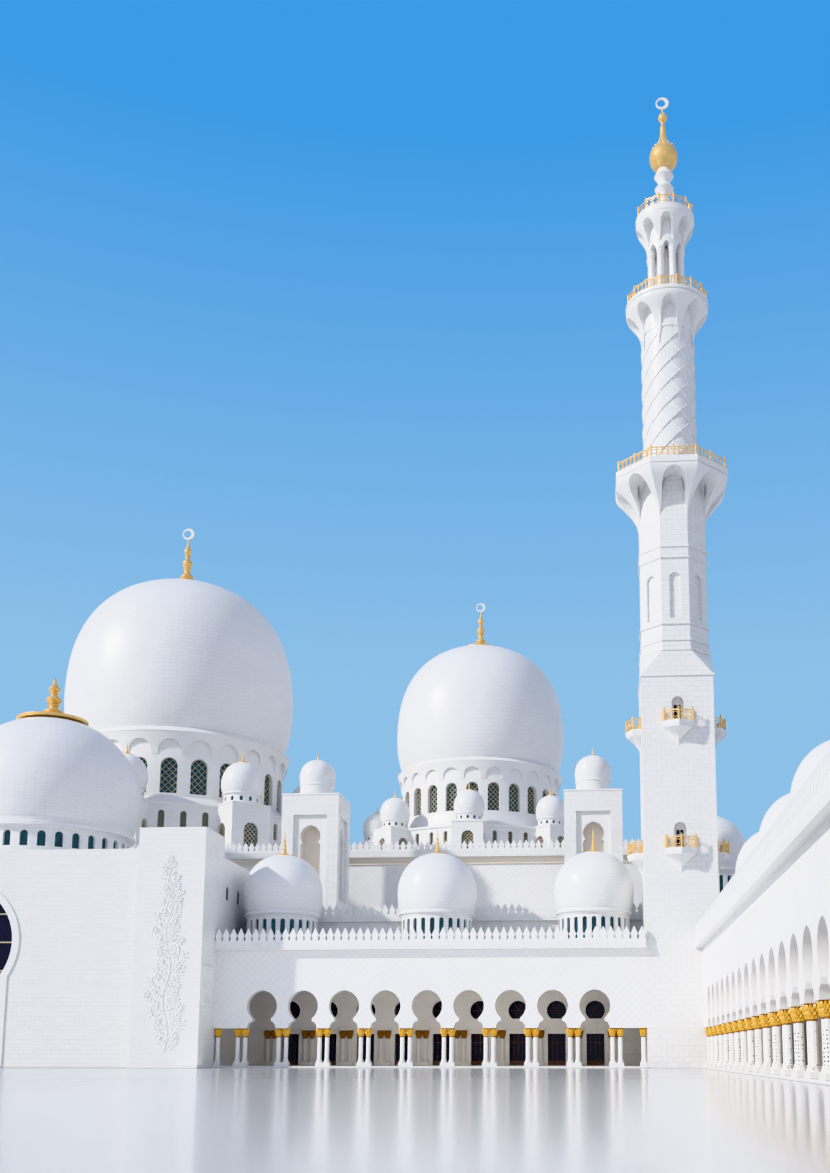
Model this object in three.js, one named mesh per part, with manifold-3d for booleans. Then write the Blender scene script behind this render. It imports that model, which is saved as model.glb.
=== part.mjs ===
// A mosque at 1:10: a prayer hall with two great domes, its entrance block, a front
// arcade, a side arcade with five domes, and a minaret where the two arcades meet.
// Lengths are metres of the full-size building. MODEL_SCALE makes them millimetres
// of the model. +X runs along the front arcade, +Y goes back from it, +Z is up.
import * as THREE from 'three';
import { mergeVertices } from 'three/addons/utils/BufferGeometryUtils.js';
import { ConvexGeometry } from 'three/addons/geometries/ConvexGeometry.js';
import Module from 'manifold-3d';

const wasm = await Module();
wasm.setup();

const MODEL_SCALE = 100;
const GAP = 0.003;

// Levels above the paving
const FLOOR_TOP = 0.15;
const WALL_FOOT = FLOOR_TOP + GAP;
const CAPITAL_TOP = 3.82;
const ARCADE_SOFFIT = 11.5;
const ARCADE_ROOF = 12.1;
const ARCADE_MERLON_TOP = 13.63;
const LOWER_SOFFIT = 15.5;
const LOWER_ROOF = 16.1;
const LOWER_PARAPET_TOP = 16.7;
const PORTAL_SOFFIT = 20.4;
const PORTAL_ROOF = 21.1;
const PORTAL_WALL_TOP = 21.3;
const PORTAL_PIER_TOP = 23.2;
const UPPER_SOFFIT = 25.5;
const UPPER_ROOF = 26.3;
const UPPER_PARAPET_TOP = 26.9;

// Plan
const WALL = 0.9;
const ROOF_OVERHANG = 0.7;
const ARCH_PITCH = 4.096;
const FRONT_ARCHES = 9;
const FIRST_FRONT_ARCH_X = -33.07;
const GALLERY_BACK_Y = 11.5;
const MINARET_WEST = 4.7;
const MINARET_SIDE = 7.2;
const MINARET_EAST = MINARET_WEST + MINARET_SIDE;
const MINARET_X = MINARET_WEST + MINARET_SIDE / 2;
const MINARET_Y = MINARET_SIDE / 2;
const SIDE_ARCHES = 17;
const FIRST_SIDE_ARCH_Y = -5.8;
const SIDE_FACE_X = 10.13;
const EAST = 22;
const SOUTH = -75.1;
const STEP_FRONT = 0.15;
const STEP_DEPTH = 1.65;
const MAIN_AXIS_X = -62.7;
const PORTAL_HALF = 24.85;
const PORTAL_WEST = MAIN_AXIS_X - PORTAL_HALF;
const PORTAL_EAST = MAIN_AXIS_X + PORTAL_HALF;
const PORTAL_PIER_WIDTH = 6.63;
const PORTAL_FRONT_Y = -4.6;
const PORTAL_PIER_BACK = 1.5;
const PORTAL_WALL_Y = -3.6;
const UPPER_FRONT_Y = 30;
const UPPER_EAST = 8;
const NORTH = 82.6;
const GREAT_DOME_Y = 56.3;
const SECOND_AXIS_X = -17;
const DOME_EVERY_ARCHES = 4;
const ARCADE_DOME_INSET = 6.9;
const TOWER_FRONT_Y = 17.8;

const range = (count) => Array.from({ length: count }, (_, i) => i);
const frontArchXs = range(FRONT_ARCHES).map((i) => FIRST_FRONT_ARCH_X + i * ARCH_PITCH);
const sideArchYs = range(SIDE_ARCHES).map((i) => FIRST_SIDE_ARCH_Y - i * ARCH_PITCH);
const everyFourth = (centres) => centres.filter((_, i) => i % DOME_EVERY_ARCHES === 0);
const pierCentres = (archCentres) => {
  const step = archCentres[1] - archCentres[0];
  return [archCentres[0] - step / 2, ...archCentres.map((c) => c + step / 2)];
};

const marble = { color: 0xf4f3ef, roughness: 0.42, metalness: 0 };
const paving = { color: 0xe6e4df, roughness: 0.2, metalness: 0 };
const gilt = { color: 0xc99a3b, roughness: 0.3, metalness: 0.9 };
const glass = { color: 0x1b1e3a, roughness: 0.15, metalness: 0 };

const building = new THREE.Group();
building.scale.setScalar(MODEL_SCALE);
building.position.set(
  -MODEL_SCALE * (PORTAL_WEST + EAST) / 2,
  -MODEL_SCALE * (SOUTH + NORTH) / 2,
  0,
);

// Solids: a closed geometry with merged corners becomes a solid that can be joined and cut.
function solid(geometry) {
  const bare = geometry.clone();
  bare.deleteAttribute('normal');
  bare.deleteAttribute('uv');
  const merged = mergeVertices(bare, 1e-5);
  const made = new wasm.Manifold(new wasm.Mesh({
    numProp: 3,
    vertProperties: new Float32Array(merged.attributes.position.array),
    triVerts: new Uint32Array(merged.index.array),
  }));
  return made;
}

const joined = (solids) => solids.reduce((sum, next) => sum.add(next));
const cutFrom = (body, cutters) => cutters.reduce((left, next) => left.subtract(next), body);

function add(name, body, finish) {
  const mesh = body.getMesh();
  const geometry = new THREE.BufferGeometry();
  geometry.setAttribute('position', new THREE.BufferAttribute(mesh.vertProperties, 3));
  geometry.setIndex(new THREE.BufferAttribute(mesh.triVerts, 1));
  const piece = new THREE.Mesh(geometry, new THREE.MeshStandardMaterial(finish));
  piece.name = name;
  building.add(piece);
}

function box(x0, x1, y0, y1, z0, z1) {
  const geometry = new THREE.BoxGeometry(x1 - x0, y1 - y0, z1 - z0);
  geometry.translate((x0 + x1) / 2, (y0 + y1) / 2, (z0 + z1) / 2);
  return solid(geometry);
}

const outline = (points) => new THREE.Shape(points.map(([u, v]) => new THREE.Vector2(u, v)));

function withHoles(shape, holes) {
  shape.holes = holes.map((points) => new THREE.Path(points.map(([u, v]) => new THREE.Vector2(u, v))));
  return shape;
}

const extruded = (shape, depth) => new THREE.ExtrudeGeometry(shape, {
  depth, bevelEnabled: false, curveSegments: 1,
});

// A level slab from an outline of (x, y) points.
function slab(shape, z0, z1) {
  return solid(extruded(shape, z1 - z0).translate(0, 0, z0));
}

// An upright wall from an outline of (x, z) points, standing from y0 to y1.
function wallAlongX(shape, y0, y1) {
  return solid(extruded(shape, y1 - y0).rotateX(Math.PI / 2).translate(0, y1, 0));
}

// An upright wall from an outline of (y, z) points, standing from x0 to x1.
function wallAlongY(shape, x0, x1) {
  const turn = new THREE.Matrix4().makeBasis(
    new THREE.Vector3(0, 1, 0), new THREE.Vector3(0, 0, 1), new THREE.Vector3(1, 0, 0),
  );
  return solid(extruded(shape, x1 - x0).applyMatrix4(turn).translate(x0, 0, 0));
}

// A turned form from (radius, height) points; a flat side, not a corner, faces each axis.
function turned(points, sides, x, y, z) {
  const profile = points.map(([r, h]) => new THREE.Vector2(r, h));
  if (points[0][0] !== 0 || points.at(-1)[0] !== 0) profile.push(profile[0].clone());
  const geometry = new THREE.LatheGeometry(profile, sides, Math.PI / sides);
  return solid(geometry.rotateX(Math.PI / 2).translate(x, y, z));
}

// Radius at the corners of a polygon whose flat sides lie at the given distance.
const cornerRadius = (flat, sides) => flat / Math.cos(Math.PI / sides);

function circlePoints(x, y, radius, count, turn = 0) {
  return range(count).map((i) => {
    const angle = turn + (i * 2 * Math.PI) / count;
    return [x + radius * Math.cos(angle), y + radius * Math.sin(angle)];
  });
}

// Keyhole arch
const ARCH_FOOT_HALF = 1.43;
const ARCH_NECK_HALF = 0.93;
const ARCH_NECK_Z = 4.5;
const ARCH_RING_Z = 5.98;
const ARCH_RING_RADIUS = 1.5;
const ARCH_APEX_Z = 7.54;
const ARCH_RING_STEPS = 10;

// Points of the ring of a keyhole, from its left neck over the apex to its right neck.
function keyholeRing(centre, neckHalf, ringZ, radius, apexZ, steps) {
  const start = Math.asin(neckHalf / radius);
  const sweep = 2 * Math.PI - 2 * start;
  return range(steps + 1).map((i) => {
    const angle = start + (sweep * i) / steps;
    const z = ringZ - radius * Math.cos(angle);
    const lift = i === steps / 2 ? apexZ - ringZ - radius : 0;
    return [centre - radius * Math.sin(angle), z + lift];
  });
}

function arcadeArch(centre) {
  return [
    [centre - ARCH_FOOT_HALF, CAPITAL_TOP],
    [centre - ARCH_NECK_HALF, ARCH_NECK_Z],
    ...keyholeRing(centre, ARCH_NECK_HALF, ARCH_RING_Z, ARCH_RING_RADIUS, ARCH_APEX_Z, ARCH_RING_STEPS),
    [centre + ARCH_NECK_HALF, ARCH_NECK_Z],
    [centre + ARCH_FOOT_HALF, CAPITAL_TOP],
  ];
}

function arcadeWallOutline(start, end, centres) {
  return outline([
    [start, CAPITAL_TOP],
    ...centres.flatMap(arcadeArch),
    [end, CAPITAL_TOP],
    [end, ARCADE_SOFFIT - GAP],
    [start, ARCADE_SOFFIT - GAP],
  ]);
}

// Columns stand in pairs on a low block, with a capital that spreads to the wall above.
const COLUMN_HALF_SPACING = 0.375;
const COLUMN_SHAFT_RADIUS = 0.2;
const COLUMN_SIDES = 6;
const CAPITAL_HEIGHT = 0.87;
const CAPITAL_RADIUS = 0.36;
const BLOCK_HALF_LENGTH = 0.73;
const BLOCK_HALF_WIDTH = 0.36;
const BLOCK_HEIGHT = 0.35;

function column(x, y, foot) {
  return turned([
    [0, foot - GAP],
    [COLUMN_SHAFT_RADIUS, foot - GAP],
    [COLUMN_SHAFT_RADIUS, CAPITAL_TOP - CAPITAL_HEIGHT],
    [CAPITAL_RADIUS, CAPITAL_TOP - GAP],
    [0, CAPITAL_TOP - GAP],
  ], COLUMN_SIDES, x, y, 0);
}

function pillarPair(place) {
  const foot = FLOOR_TOP + BLOCK_HEIGHT;
  const [xa, ya] = place(-COLUMN_HALF_SPACING, 0);
  const [xb, yb] = place(COLUMN_HALF_SPACING, 0);
  const [x0, y0] = place(-BLOCK_HALF_LENGTH, -BLOCK_HALF_WIDTH);
  const [x1, y1] = place(BLOCK_HALF_LENGTH, BLOCK_HALF_WIDTH);
  return joined([
    box(Math.min(x0, x1), Math.max(x0, x1), Math.min(y0, y1), Math.max(y0, y1), 0, foot),
    column(xa, ya, foot),
    column(xb, yb, foot),
  ]);
}

function singlePillar(x, y) {
  const foot = FLOOR_TOP + BLOCK_HEIGHT;
  return box(x - BLOCK_HALF_WIDTH, x + BLOCK_HALF_WIDTH, y - BLOCK_HALF_WIDTH, y + BLOCK_HALF_WIDTH, 0, foot)
    .add(column(x, y, foot));
}

// Saw-toothed parapet toward the court: each tooth is a merlon.
const MERLON_SILL = 0.45;
const PARAPET_THICKNESS = 0.35;
const PARAPET_SETBACK = 0.05;
const OUTER_PARAPET_HEIGHT = 0.6;

function merlonOutline(start, end, foot, top, teeth) {
  const pitch = (end - start) / teeth;
  const crest = range(teeth).flatMap((i) => [
    [end - pitch * i, foot + MERLON_SILL],
    [end - pitch * (i + 0.5), top],
  ]);
  return outline([[start, foot], [end, foot], ...crest, [start, foot + MERLON_SILL]]);
}

// Hollow dome on a round drum, standing on a roof.
const ARCADE_DOME_SIDES = 12;
const ARCADE_DOME_OUTSIDE = [
  [3.68, 0], [3.68, 3.3], [4.08, 3.9], [4.1, 6.3], [3.1, 8.7], [0.5, 10.05], [0, 12.6],
];
const ARCADE_DOME_INSIDE = [[0, 9.4], [2.6, 8.3], [3.6, 6], [3.4, 0]];
const ARCADE_DOME_HOLE = 3.3;
const ARCADE_DRUM_HEIGHT = 3;

// Outline of a dome's shell: down the inside from the crown, then up the outside.
const domeProfile = (inside, outside, place) => [...inside, ...outside].map(place);

function arcadeDome(name, x, y, roof, lift = 0) {
  const raise = ([r, h]) => [r, h > 0 ? h + lift : h];
  const profile = domeProfile(ARCADE_DOME_INSIDE, ARCADE_DOME_OUTSIDE, raise);
  add(name, turned(profile, ARCADE_DOME_SIDES, x, y, roof + GAP), marble);
}

const domeHole = (x, y, radius = ARCADE_DOME_HOLE, sides = ARCADE_DOME_SIDES) =>
  circlePoints(x, y, radius, sides, Math.PI / sides);

// Ground floor: one level slab under the hall, the entrance block and both galleries.
function makeFloor() {
  const frontEdge = PORTAL_PIER_BACK + GAP;
  const pierIn = PORTAL_PIER_WIDTH + GAP;
  const sideEdge = SIDE_FACE_X - STEP_FRONT + STEP_DEPTH + GAP;
  const shape = outline([
    [PORTAL_WEST, frontEdge],
    [PORTAL_WEST + pierIn, frontEdge],
    [PORTAL_WEST + pierIn, PORTAL_WALL_Y],
    [PORTAL_EAST - pierIn, PORTAL_WALL_Y],
    [PORTAL_EAST - pierIn, frontEdge],
    [MINARET_WEST - GAP, frontEdge],
    [MINARET_WEST - GAP, MINARET_SIDE + GAP],
    [MINARET_EAST + GAP, MINARET_SIDE + GAP],
    [MINARET_EAST + GAP, -GAP],
    [sideEdge, -GAP],
    [sideEdge, SOUTH + WALL - GAP],
    [SIDE_FACE_X, SOUTH + WALL - GAP],
    [SIDE_FACE_X, SOUTH],
    [EAST, SOUTH],
    [EAST, UPPER_FRONT_Y],
    [UPPER_EAST, UPPER_FRONT_Y],
    [UPPER_EAST, NORTH],
    [PORTAL_WEST, NORTH],
  ]);
  add('ground_floor', slab(shape, 0, FLOOR_TOP), paving);
}

// Front arcade between the entrance block and the minaret.
function makeFrontArcade() {
  const west = PORTAL_EAST + GAP;
  const east = MINARET_WEST - GAP;
  const middleY = WALL / 2;
  add('front_arcade_wall', wallAlongX(arcadeWallOutline(west, east, frontArchXs), 0, WALL), marble);
  const pairs = pierCentres(frontArchXs).map((x) => pillarPair((u, v) => [x + u, middleY + v]));
  const step = box(west, east, -STEP_FRONT, STEP_DEPTH - STEP_FRONT, 0, FLOOR_TOP);
  const ends = [west + BLOCK_HALF_WIDTH, east - BLOCK_HALF_WIDTH].map((x) => singlePillar(x, middleY));
  add('front_columns', joined([step, ...pairs, ...ends]), marble);
  const domeXs = everyFourth(frontArchXs);
  const roof = withHoles(
    outline([
      [west, -ROOF_OVERHANG], [east, -ROOF_OVERHANG],
      [east, GALLERY_BACK_Y - GAP], [west, GALLERY_BACK_Y - GAP],
    ]),
    domeXs.map((x) => domeHole(x, ARCADE_DOME_INSET)),
  );
  add('front_roof', slab(roof, ARCADE_SOFFIT, ARCADE_ROOF), marble);
  const parapetY = -ROOF_OVERHANG + PARAPET_SETBACK;
  const teeth = Math.round((east - west) / (ARCH_PITCH / 5));
  const parapet = merlonOutline(west, east, ARCADE_ROOF + GAP, ARCADE_MERLON_TOP, teeth);
  add('front_parapet', wallAlongX(parapet, parapetY, parapetY + PARAPET_THICKNESS), marble);
  domeXs.forEach((x, i) => arcadeDome(`front_dome_${i + 1}`, x, ARCADE_DOME_INSET, ARCADE_ROOF));
}

// Side arcade, running forward from the minaret along the other side of the court.
function makeSideArcade() {
  const north = -GAP;
  const south = SOUTH + WALL + GAP;
  const middleX = SIDE_FACE_X + WALL / 2;
  const archesFromSouth = [...sideArchYs].reverse();
  const wall = arcadeWallOutline(south, north, archesFromSouth);
  add('side_arcade_wall', wallAlongY(wall, SIDE_FACE_X, SIDE_FACE_X + WALL), marble);
  const pairs = pierCentres(archesFromSouth).map((y) => pillarPair((u, v) => [middleX + v, y + u]));
  const stepX = SIDE_FACE_X - STEP_FRONT;
  const step = box(stepX, stepX + STEP_DEPTH, south, north, 0, FLOOR_TOP);
  const ends = [singlePillar(middleX, north - BLOCK_HALF_WIDTH)];
  add('side_columns', joined([step, ...pairs, ...ends]), marble);
  const domeX = SIDE_FACE_X + ARCADE_DOME_INSET;
  const domeYs = everyFourth(sideArchYs);
  const roof = withHoles(
    outline([
      [SIDE_FACE_X - ROOF_OVERHANG, SOUTH - ROOF_OVERHANG],
      [EAST + ROOF_OVERHANG, SOUTH - ROOF_OVERHANG],
      [EAST + ROOF_OVERHANG, GALLERY_BACK_Y - GAP],
      [MINARET_WEST, GALLERY_BACK_Y - GAP],
      [MINARET_WEST, MINARET_SIDE + GAP],
      [MINARET_EAST + GAP, MINARET_SIDE + GAP],
      [MINARET_EAST + GAP, -GAP],
      [SIDE_FACE_X - ROOF_OVERHANG, -GAP],
    ]),
    domeYs.map((y) => domeHole(domeX, y)),
  );
  add('side_roof', slab(roof, ARCADE_SOFFIT, ARCADE_ROOF), marble);
  const backWall = outline([
    [SIDE_FACE_X, SOUTH], [EAST, SOUTH], [EAST, GALLERY_BACK_Y - GAP],
    [EAST - WALL, GALLERY_BACK_Y - GAP], [EAST - WALL, SOUTH + WALL], [SIDE_FACE_X, SOUTH + WALL],
  ]);
  add('side_back_wall', slab(backWall, WALL_FOOT, ARCADE_SOFFIT - GAP), marble);
  makeSideParapet();
  domeYs.forEach((y, i) => arcadeDome(`side_dome_${i + 1}`, domeX, y, ARCADE_ROOF));
}

function makeSideParapet() {
  const foot = ARCADE_ROOF + GAP;
  const west = SIDE_FACE_X - ROOF_OVERHANG + PARAPET_SETBACK;
  const east = EAST + ROOF_OVERHANG - PARAPET_SETBACK;
  const south = SOUTH - ROOF_OVERHANG + PARAPET_SETBACK;
  const teeth = Math.round(-south / (ARCH_PITCH / 5));
  const court = wallAlongY(
    merlonOutline(south, -GAP, foot, ARCADE_MERLON_TOP, teeth), west, west + PARAPET_THICKNESS,
  );
  const outerTop = foot + OUTER_PARAPET_HEIGHT;
  const end = box(west, east, south, south + PARAPET_THICKNESS, foot, outerTop);
  const outer = box(east - PARAPET_THICKNESS, east, south, GALLERY_BACK_Y - GAP, foot, outerTop);
  add('side_parapet', joined([court, end, outer]), marble);
}

// Wall at the back of the front gallery, with a glazed doorway and a round light in each bay.
const DOOR_HALF = 0.94;
const DOOR_TOP = 3.45;
const LIGHT_RADIUS = 1.05;
const LIGHT_Z = 5.9;
const LIGHT_SIDES = 8;
const SHEET_MARGIN = 0.5;
const SHEET_THICKNESS = 0.1;

function makeGalleryBackWall() {
  const west = PORTAL_EAST + GAP;
  const doors = frontArchXs.flatMap((x) => [
    [x - DOOR_HALF, WALL_FOOT], [x - DOOR_HALF, DOOR_TOP],
    [x + DOOR_HALF, DOOR_TOP], [x + DOOR_HALF, WALL_FOOT],
  ]);
  const shape = withHoles(
    outline([
      [west, WALL_FOOT], ...doors, [EAST, WALL_FOOT],
      [EAST, LOWER_SOFFIT - GAP], [west, LOWER_SOFFIT - GAP],
    ]),
    frontArchXs.map((x) => domeHole(x, LIGHT_Z, LIGHT_RADIUS, LIGHT_SIDES)),
  );
  const wall = wallAlongX(shape, GALLERY_BACK_Y, GALLERY_BACK_Y + WALL);
  const pilasters = pierCentres(frontArchXs).map((x) => {
    const y = GALLERY_BACK_Y - BLOCK_HALF_WIDTH;
    return box(x - BLOCK_HALF_LENGTH, x + BLOCK_HALF_LENGTH, y, y + WALL, WALL_FOOT, CAPITAL_TOP);
  });
  add('gallery_back_wall', joined([wall, ...pilasters]), marble);
  const sheetY = GALLERY_BACK_Y + WALL + GAP;
  const reach = DOOR_HALF + SHEET_MARGIN;
  add('gallery_glass', box(
    frontArchXs[0] - reach, frontArchXs.at(-1) + reach,
    sheetY, sheetY + SHEET_THICKNESS,
    WALL_FOOT, LIGHT_Z + LIGHT_RADIUS + SHEET_MARGIN,
  ), glass);
}

// Lower part of the prayer hall, behind the front gallery.
const LOWER_OVERHANG = 0.4;
const CORNER_DOME_X = 12.5;
const CORNER_DOME_Y = 16;
const CORNER_DOME_LIFT = 1.4;

function makeLowerHall() {
  const west = PORTAL_EAST + GAP;
  const front = GALLERY_BACK_Y - LOWER_OVERHANG;
  const cornerFoot = GALLERY_BACK_Y + WALL + GAP;
  const corner = outline([
    [EAST - WALL, cornerFoot], [EAST, cornerFoot], [EAST, UPPER_FRONT_Y - GAP],
    [UPPER_EAST + GAP, UPPER_FRONT_Y - GAP], [UPPER_EAST + GAP, UPPER_FRONT_Y - WALL],
    [EAST - WALL, UPPER_FRONT_Y - WALL],
  ]);
  add('lower_hall_corner_wall', slab(corner, WALL_FOOT, LOWER_SOFFIT - GAP), marble);
  const roof = withHoles(
    outline([
      [west, front], [EAST + ROOF_OVERHANG, front],
      [EAST + ROOF_OVERHANG, UPPER_FRONT_Y - GAP], [west, UPPER_FRONT_Y - GAP],
    ]),
    [domeHole(CORNER_DOME_X, CORNER_DOME_Y)],
  );
  add('lower_hall_roof', slab(roof, LOWER_SOFFIT, LOWER_ROOF), marble);
  const foot = LOWER_ROOF + GAP;
  const east = EAST + ROOF_OVERHANG - PARAPET_SETBACK;
  const y = front + PARAPET_SETBACK;
  const crest = box(west, east, y, y + PARAPET_THICKNESS, foot, LOWER_PARAPET_TOP);
  const flank = box(east - PARAPET_THICKNESS, east, y, UPPER_FRONT_Y - GAP, foot, LOWER_PARAPET_TOP);
  add('lower_hall_parapet', crest.add(flank), marble);
  arcadeDome('corner_dome', CORNER_DOME_X, CORNER_DOME_Y, LOWER_ROOF, CORNER_DOME_LIFT);
}

// Two square towers on the lower roof; the front and the sides are sunk around a keyhole niche.
const TOWER_HALF = 3.325;
const TOWER_TOP = 31.3;
const TOWER_WALL = 1.1;
const TOWER_PANEL_HALF = 1.95;
const TOWER_PANEL_FOOT = 18.9;
const TOWER_PANEL_TOP = 28.75;
const TOWER_SINK = 0.35;
const NICHE_HALF = 1.2;
const NICHE_NECK_HALF = 0.95;
const NICHE_NECK_FOOT = 25.15;
const NICHE_NECK_Z = 25.45;
const NICHE_RING_Z = 26.3;
const NICHE_APEX_Z = 27.6;
const NICHE_RING_STEPS = 8;
const TOWER_DOME_SIDES = 10;
const TOWER_DOME = [[0, -0.1], [2, -0.1], [2, 1.4], [2.1, 2.6], [1.4, 4.2], [0, 5.75]];

function towerNiche() {
  const ring = keyholeRing(0, NICHE_NECK_HALF, NICHE_RING_Z, NICHE_HALF, NICHE_APEX_Z, NICHE_RING_STEPS);
  return outline([
    [NICHE_HALF, TOWER_PANEL_FOOT], [NICHE_HALF, NICHE_NECK_FOOT], [NICHE_NECK_HALF, NICHE_NECK_Z],
    ...ring.slice(1, -1).reverse(),
    [-NICHE_NECK_HALF, NICHE_NECK_Z], [-NICHE_HALF, NICHE_NECK_FOOT], [-NICHE_HALF, TOWER_PANEL_FOOT],
  ]);
}

function makeTower(name, x) {
  const y = TOWER_FRONT_Y + TOWER_HALF;
  const foot = LOWER_ROOF + GAP;
  const shell = box(-TOWER_HALF, TOWER_HALF, -TOWER_HALF, TOWER_HALF, foot, TOWER_TOP);
  const inner = TOWER_HALF - TOWER_WALL;
  const room = box(-inner, inner, -inner, inner, foot - 1, TOWER_TOP - TOWER_WALL);
  const panel = box(
    -TOWER_PANEL_HALF, TOWER_PANEL_HALF,
    -TOWER_HALF - 1, -TOWER_HALF + TOWER_SINK,
    TOWER_PANEL_FOOT, TOWER_PANEL_TOP,
  );
  const niche = wallAlongX(towerNiche(), -TOWER_HALF - 1, -TOWER_HALF + 2 * TOWER_SINK);
  const sink = panel.add(niche);
  const sinks = [-1, 0, 1].map((i) => sink.rotate([0, 0, 90 * i]));
  const tower = cutFrom(shell, [room, ...sinks]).add(turned(TOWER_DOME, TOWER_DOME_SIDES, 0, 0, TOWER_TOP));
  add(name, tower.translate([x, y, 0]), marble);
}

// Upper hall: outer walls, front wall above the lower roof, roof and parapet.
const SECOND_DOME = {
  name: 'second', x: SECOND_AXIS_X, drumRadius: 11.5, drumFoot: 31, ringZ: 42, peak: 68.7,
  windowFoot: 34.5, windowTop: 38.5, windowHalf: 0.85,
  turretRing: 15.3, turretHalf: 2.1, turretTop: 32, turretScale: 1,
};
const MAIN_DOME = {
  name: 'main', x: MAIN_AXIS_X, drumRadius: 15.6, drumFoot: 34, ringZ: 46.2, peak: 82.1,
  windowFoot: 36.8, windowTop: 41.8, windowHalf: 1.15,
  turretRing: 20, turretHalf: 2.9, turretTop: 34.9, turretScale: 1.38,
};
const GREAT_DOME_SIDES = 24;
const DRUM_WALL = 0.9;
const DRUM_SKIRT = 1.09;
const DRUM_SILL = 0.3;
const DRUM_RING = 0.7;
const DRUM_LIP = 1.03;

const drumWell = (d, x, y) => domeHole(x, y, d.drumRadius - DRUM_WALL, GREAT_DOME_SIDES);

function makeUpperHall() {
  const walls = outline([
    [UPPER_EAST - WALL, UPPER_FRONT_Y], [UPPER_EAST, UPPER_FRONT_Y], [UPPER_EAST, NORTH],
    [PORTAL_WEST, NORTH], [PORTAL_WEST, UPPER_FRONT_Y], [PORTAL_WEST + WALL, UPPER_FRONT_Y],
    [PORTAL_WEST + WALL, NORTH - WALL], [UPPER_EAST - WALL, NORTH - WALL],
  ]);
  add('upper_hall_walls', slab(walls, WALL_FOOT, UPPER_SOFFIT - GAP), marble);
  add('upper_hall_front_wall', box(
    PORTAL_WEST + WALL + GAP, UPPER_EAST - WALL - GAP, UPPER_FRONT_Y, UPPER_FRONT_Y + WALL,
    LOWER_SOFFIT, UPPER_SOFFIT - GAP,
  ), marble);
  const west = PORTAL_WEST - ROOF_OVERHANG;
  const east = UPPER_EAST + ROOF_OVERHANG;
  const south = UPPER_FRONT_Y - ROOF_OVERHANG;
  const north = NORTH + ROOF_OVERHANG;
  const roof = withHoles(
    outline([[west, south], [east, south], [east, north], [west, north]]),
    [SECOND_DOME, MAIN_DOME].map((d) => drumWell(d, d.x, GREAT_DOME_Y)),
  );
  add('upper_hall_roof', slab(roof, UPPER_SOFFIT, UPPER_ROOF), marble);
  const foot = UPPER_ROOF + GAP;
  const edge = PARAPET_SETBACK;
  const insetRing = (inset) => [
    [west + inset, south + inset], [east - inset, south + inset],
    [east - inset, north - inset], [west + inset, north - inset],
  ];
  const ring = withHoles(outline(insetRing(edge)), [insetRing(edge + PARAPET_THICKNESS)]);
  add('upper_hall_parapet', slab(ring, foot, UPPER_PARAPET_TOP), marble);
}

// Great domes: an eight-sided base with a turret at each corner, a drum with windows, a shell
// and a gilt finial.
const TURRET_DOME = [[0, -0.1], [1.95, -0.1], [2.1, 1.5], [1.6, 3.1], [0, 4.7]];

const TURRETS = 8;

function makeDomeBase(d) {
  const foot = UPPER_ROOF + GAP;
  const corners = circlePoints(0, 0, d.turretRing, TURRETS, -Math.PI / 2);
  const block = slab(outline(corners), foot, d.drumFoot - GAP);
  const domePoints = TURRET_DOME.map(([r, h]) => [r * d.turretScale, h * d.turretScale]);
  const half = d.turretHalf;
  const turret = box(-half, half, -half, half, foot, d.turretTop)
    .add(turned(domePoints, TURRETS, 0, 0, d.turretTop))
    .translate([0, -d.turretRing, 0]);
  const turrets = range(TURRETS).map((i) => turret.rotate([0, 0, (360 / TURRETS) * i]));
  const well = slab(outline(drumWell(d, 0, 0)), foot - 1, d.drumFoot + 1);
  const base = joined([block, ...turrets]).subtract(well);
  add(`${d.name}_dome_base`, base.translate([d.x, GREAT_DOME_Y, 0]), marble);
}

function makeDrum(d) {
  const r = d.drumRadius;
  const inner = r - DRUM_WALL;
  const shell = turned([
    [inner, d.drumFoot], [r * DRUM_SKIRT, d.drumFoot], [r, d.windowFoot - DRUM_SILL],
    [r, d.ringZ - DRUM_RING], [r * DRUM_LIP, d.ringZ - GAP], [inner, d.ringZ - GAP],
  ], GREAT_DOME_SIDES, 0, 0, 0);
  const arch = outline([
    [d.windowHalf, d.windowFoot], [d.windowHalf, d.windowTop - d.windowHalf], [0, d.windowTop],
    [-d.windowHalf, d.windowTop - d.windowHalf], [-d.windowHalf, d.windowFoot],
  ]);
  const window = wallAlongX(arch, -r - 1, -inner + 1);
  const windows = range(GREAT_DOME_SIDES).map((i) => window.rotate([0, 0, (360 / GREAT_DOME_SIDES) * i]));
  add(`${d.name}_dome_drum`, cutFrom(shell, windows).translate([d.x, GREAT_DOME_Y, 0]), marble);
}

// Heights and radii of the great dome's shell, as shares of the drum radius.
const GREAT_DOME_OUTSIDE = [
  [1, 0], [1.045, 0.24], [1.07, 0.62], [1.02, 0.98], [0.87, 1.27], [0.6, 1.52], [0.2, 1.68], [0, 1.69],
];
const GREAT_DOME_INSIDE = [[0, 1.64], [0.57, 1.47], [0.97, 0.95], [0.94, 0]];

function makeShell(d) {
  const scaled = ([r, h]) => [r * d.drumRadius, h * d.drumRadius];
  const points = domeProfile(GREAT_DOME_INSIDE, GREAT_DOME_OUTSIDE, scaled);
  add(`${d.name}_dome_shell`, turned(points, GREAT_DOME_SIDES, d.x, GREAT_DOME_Y, d.ringZ), marble);
}

// Upright ring whose opening faces the court, the top of a finial.
function crescent(x, y, z, radius, tube) {
  const ring = new THREE.TorusGeometry(radius, tube, 4, 12);
  return solid(ring.rotateX(Math.PI / 2).translate(x, y, z));
}

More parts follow.
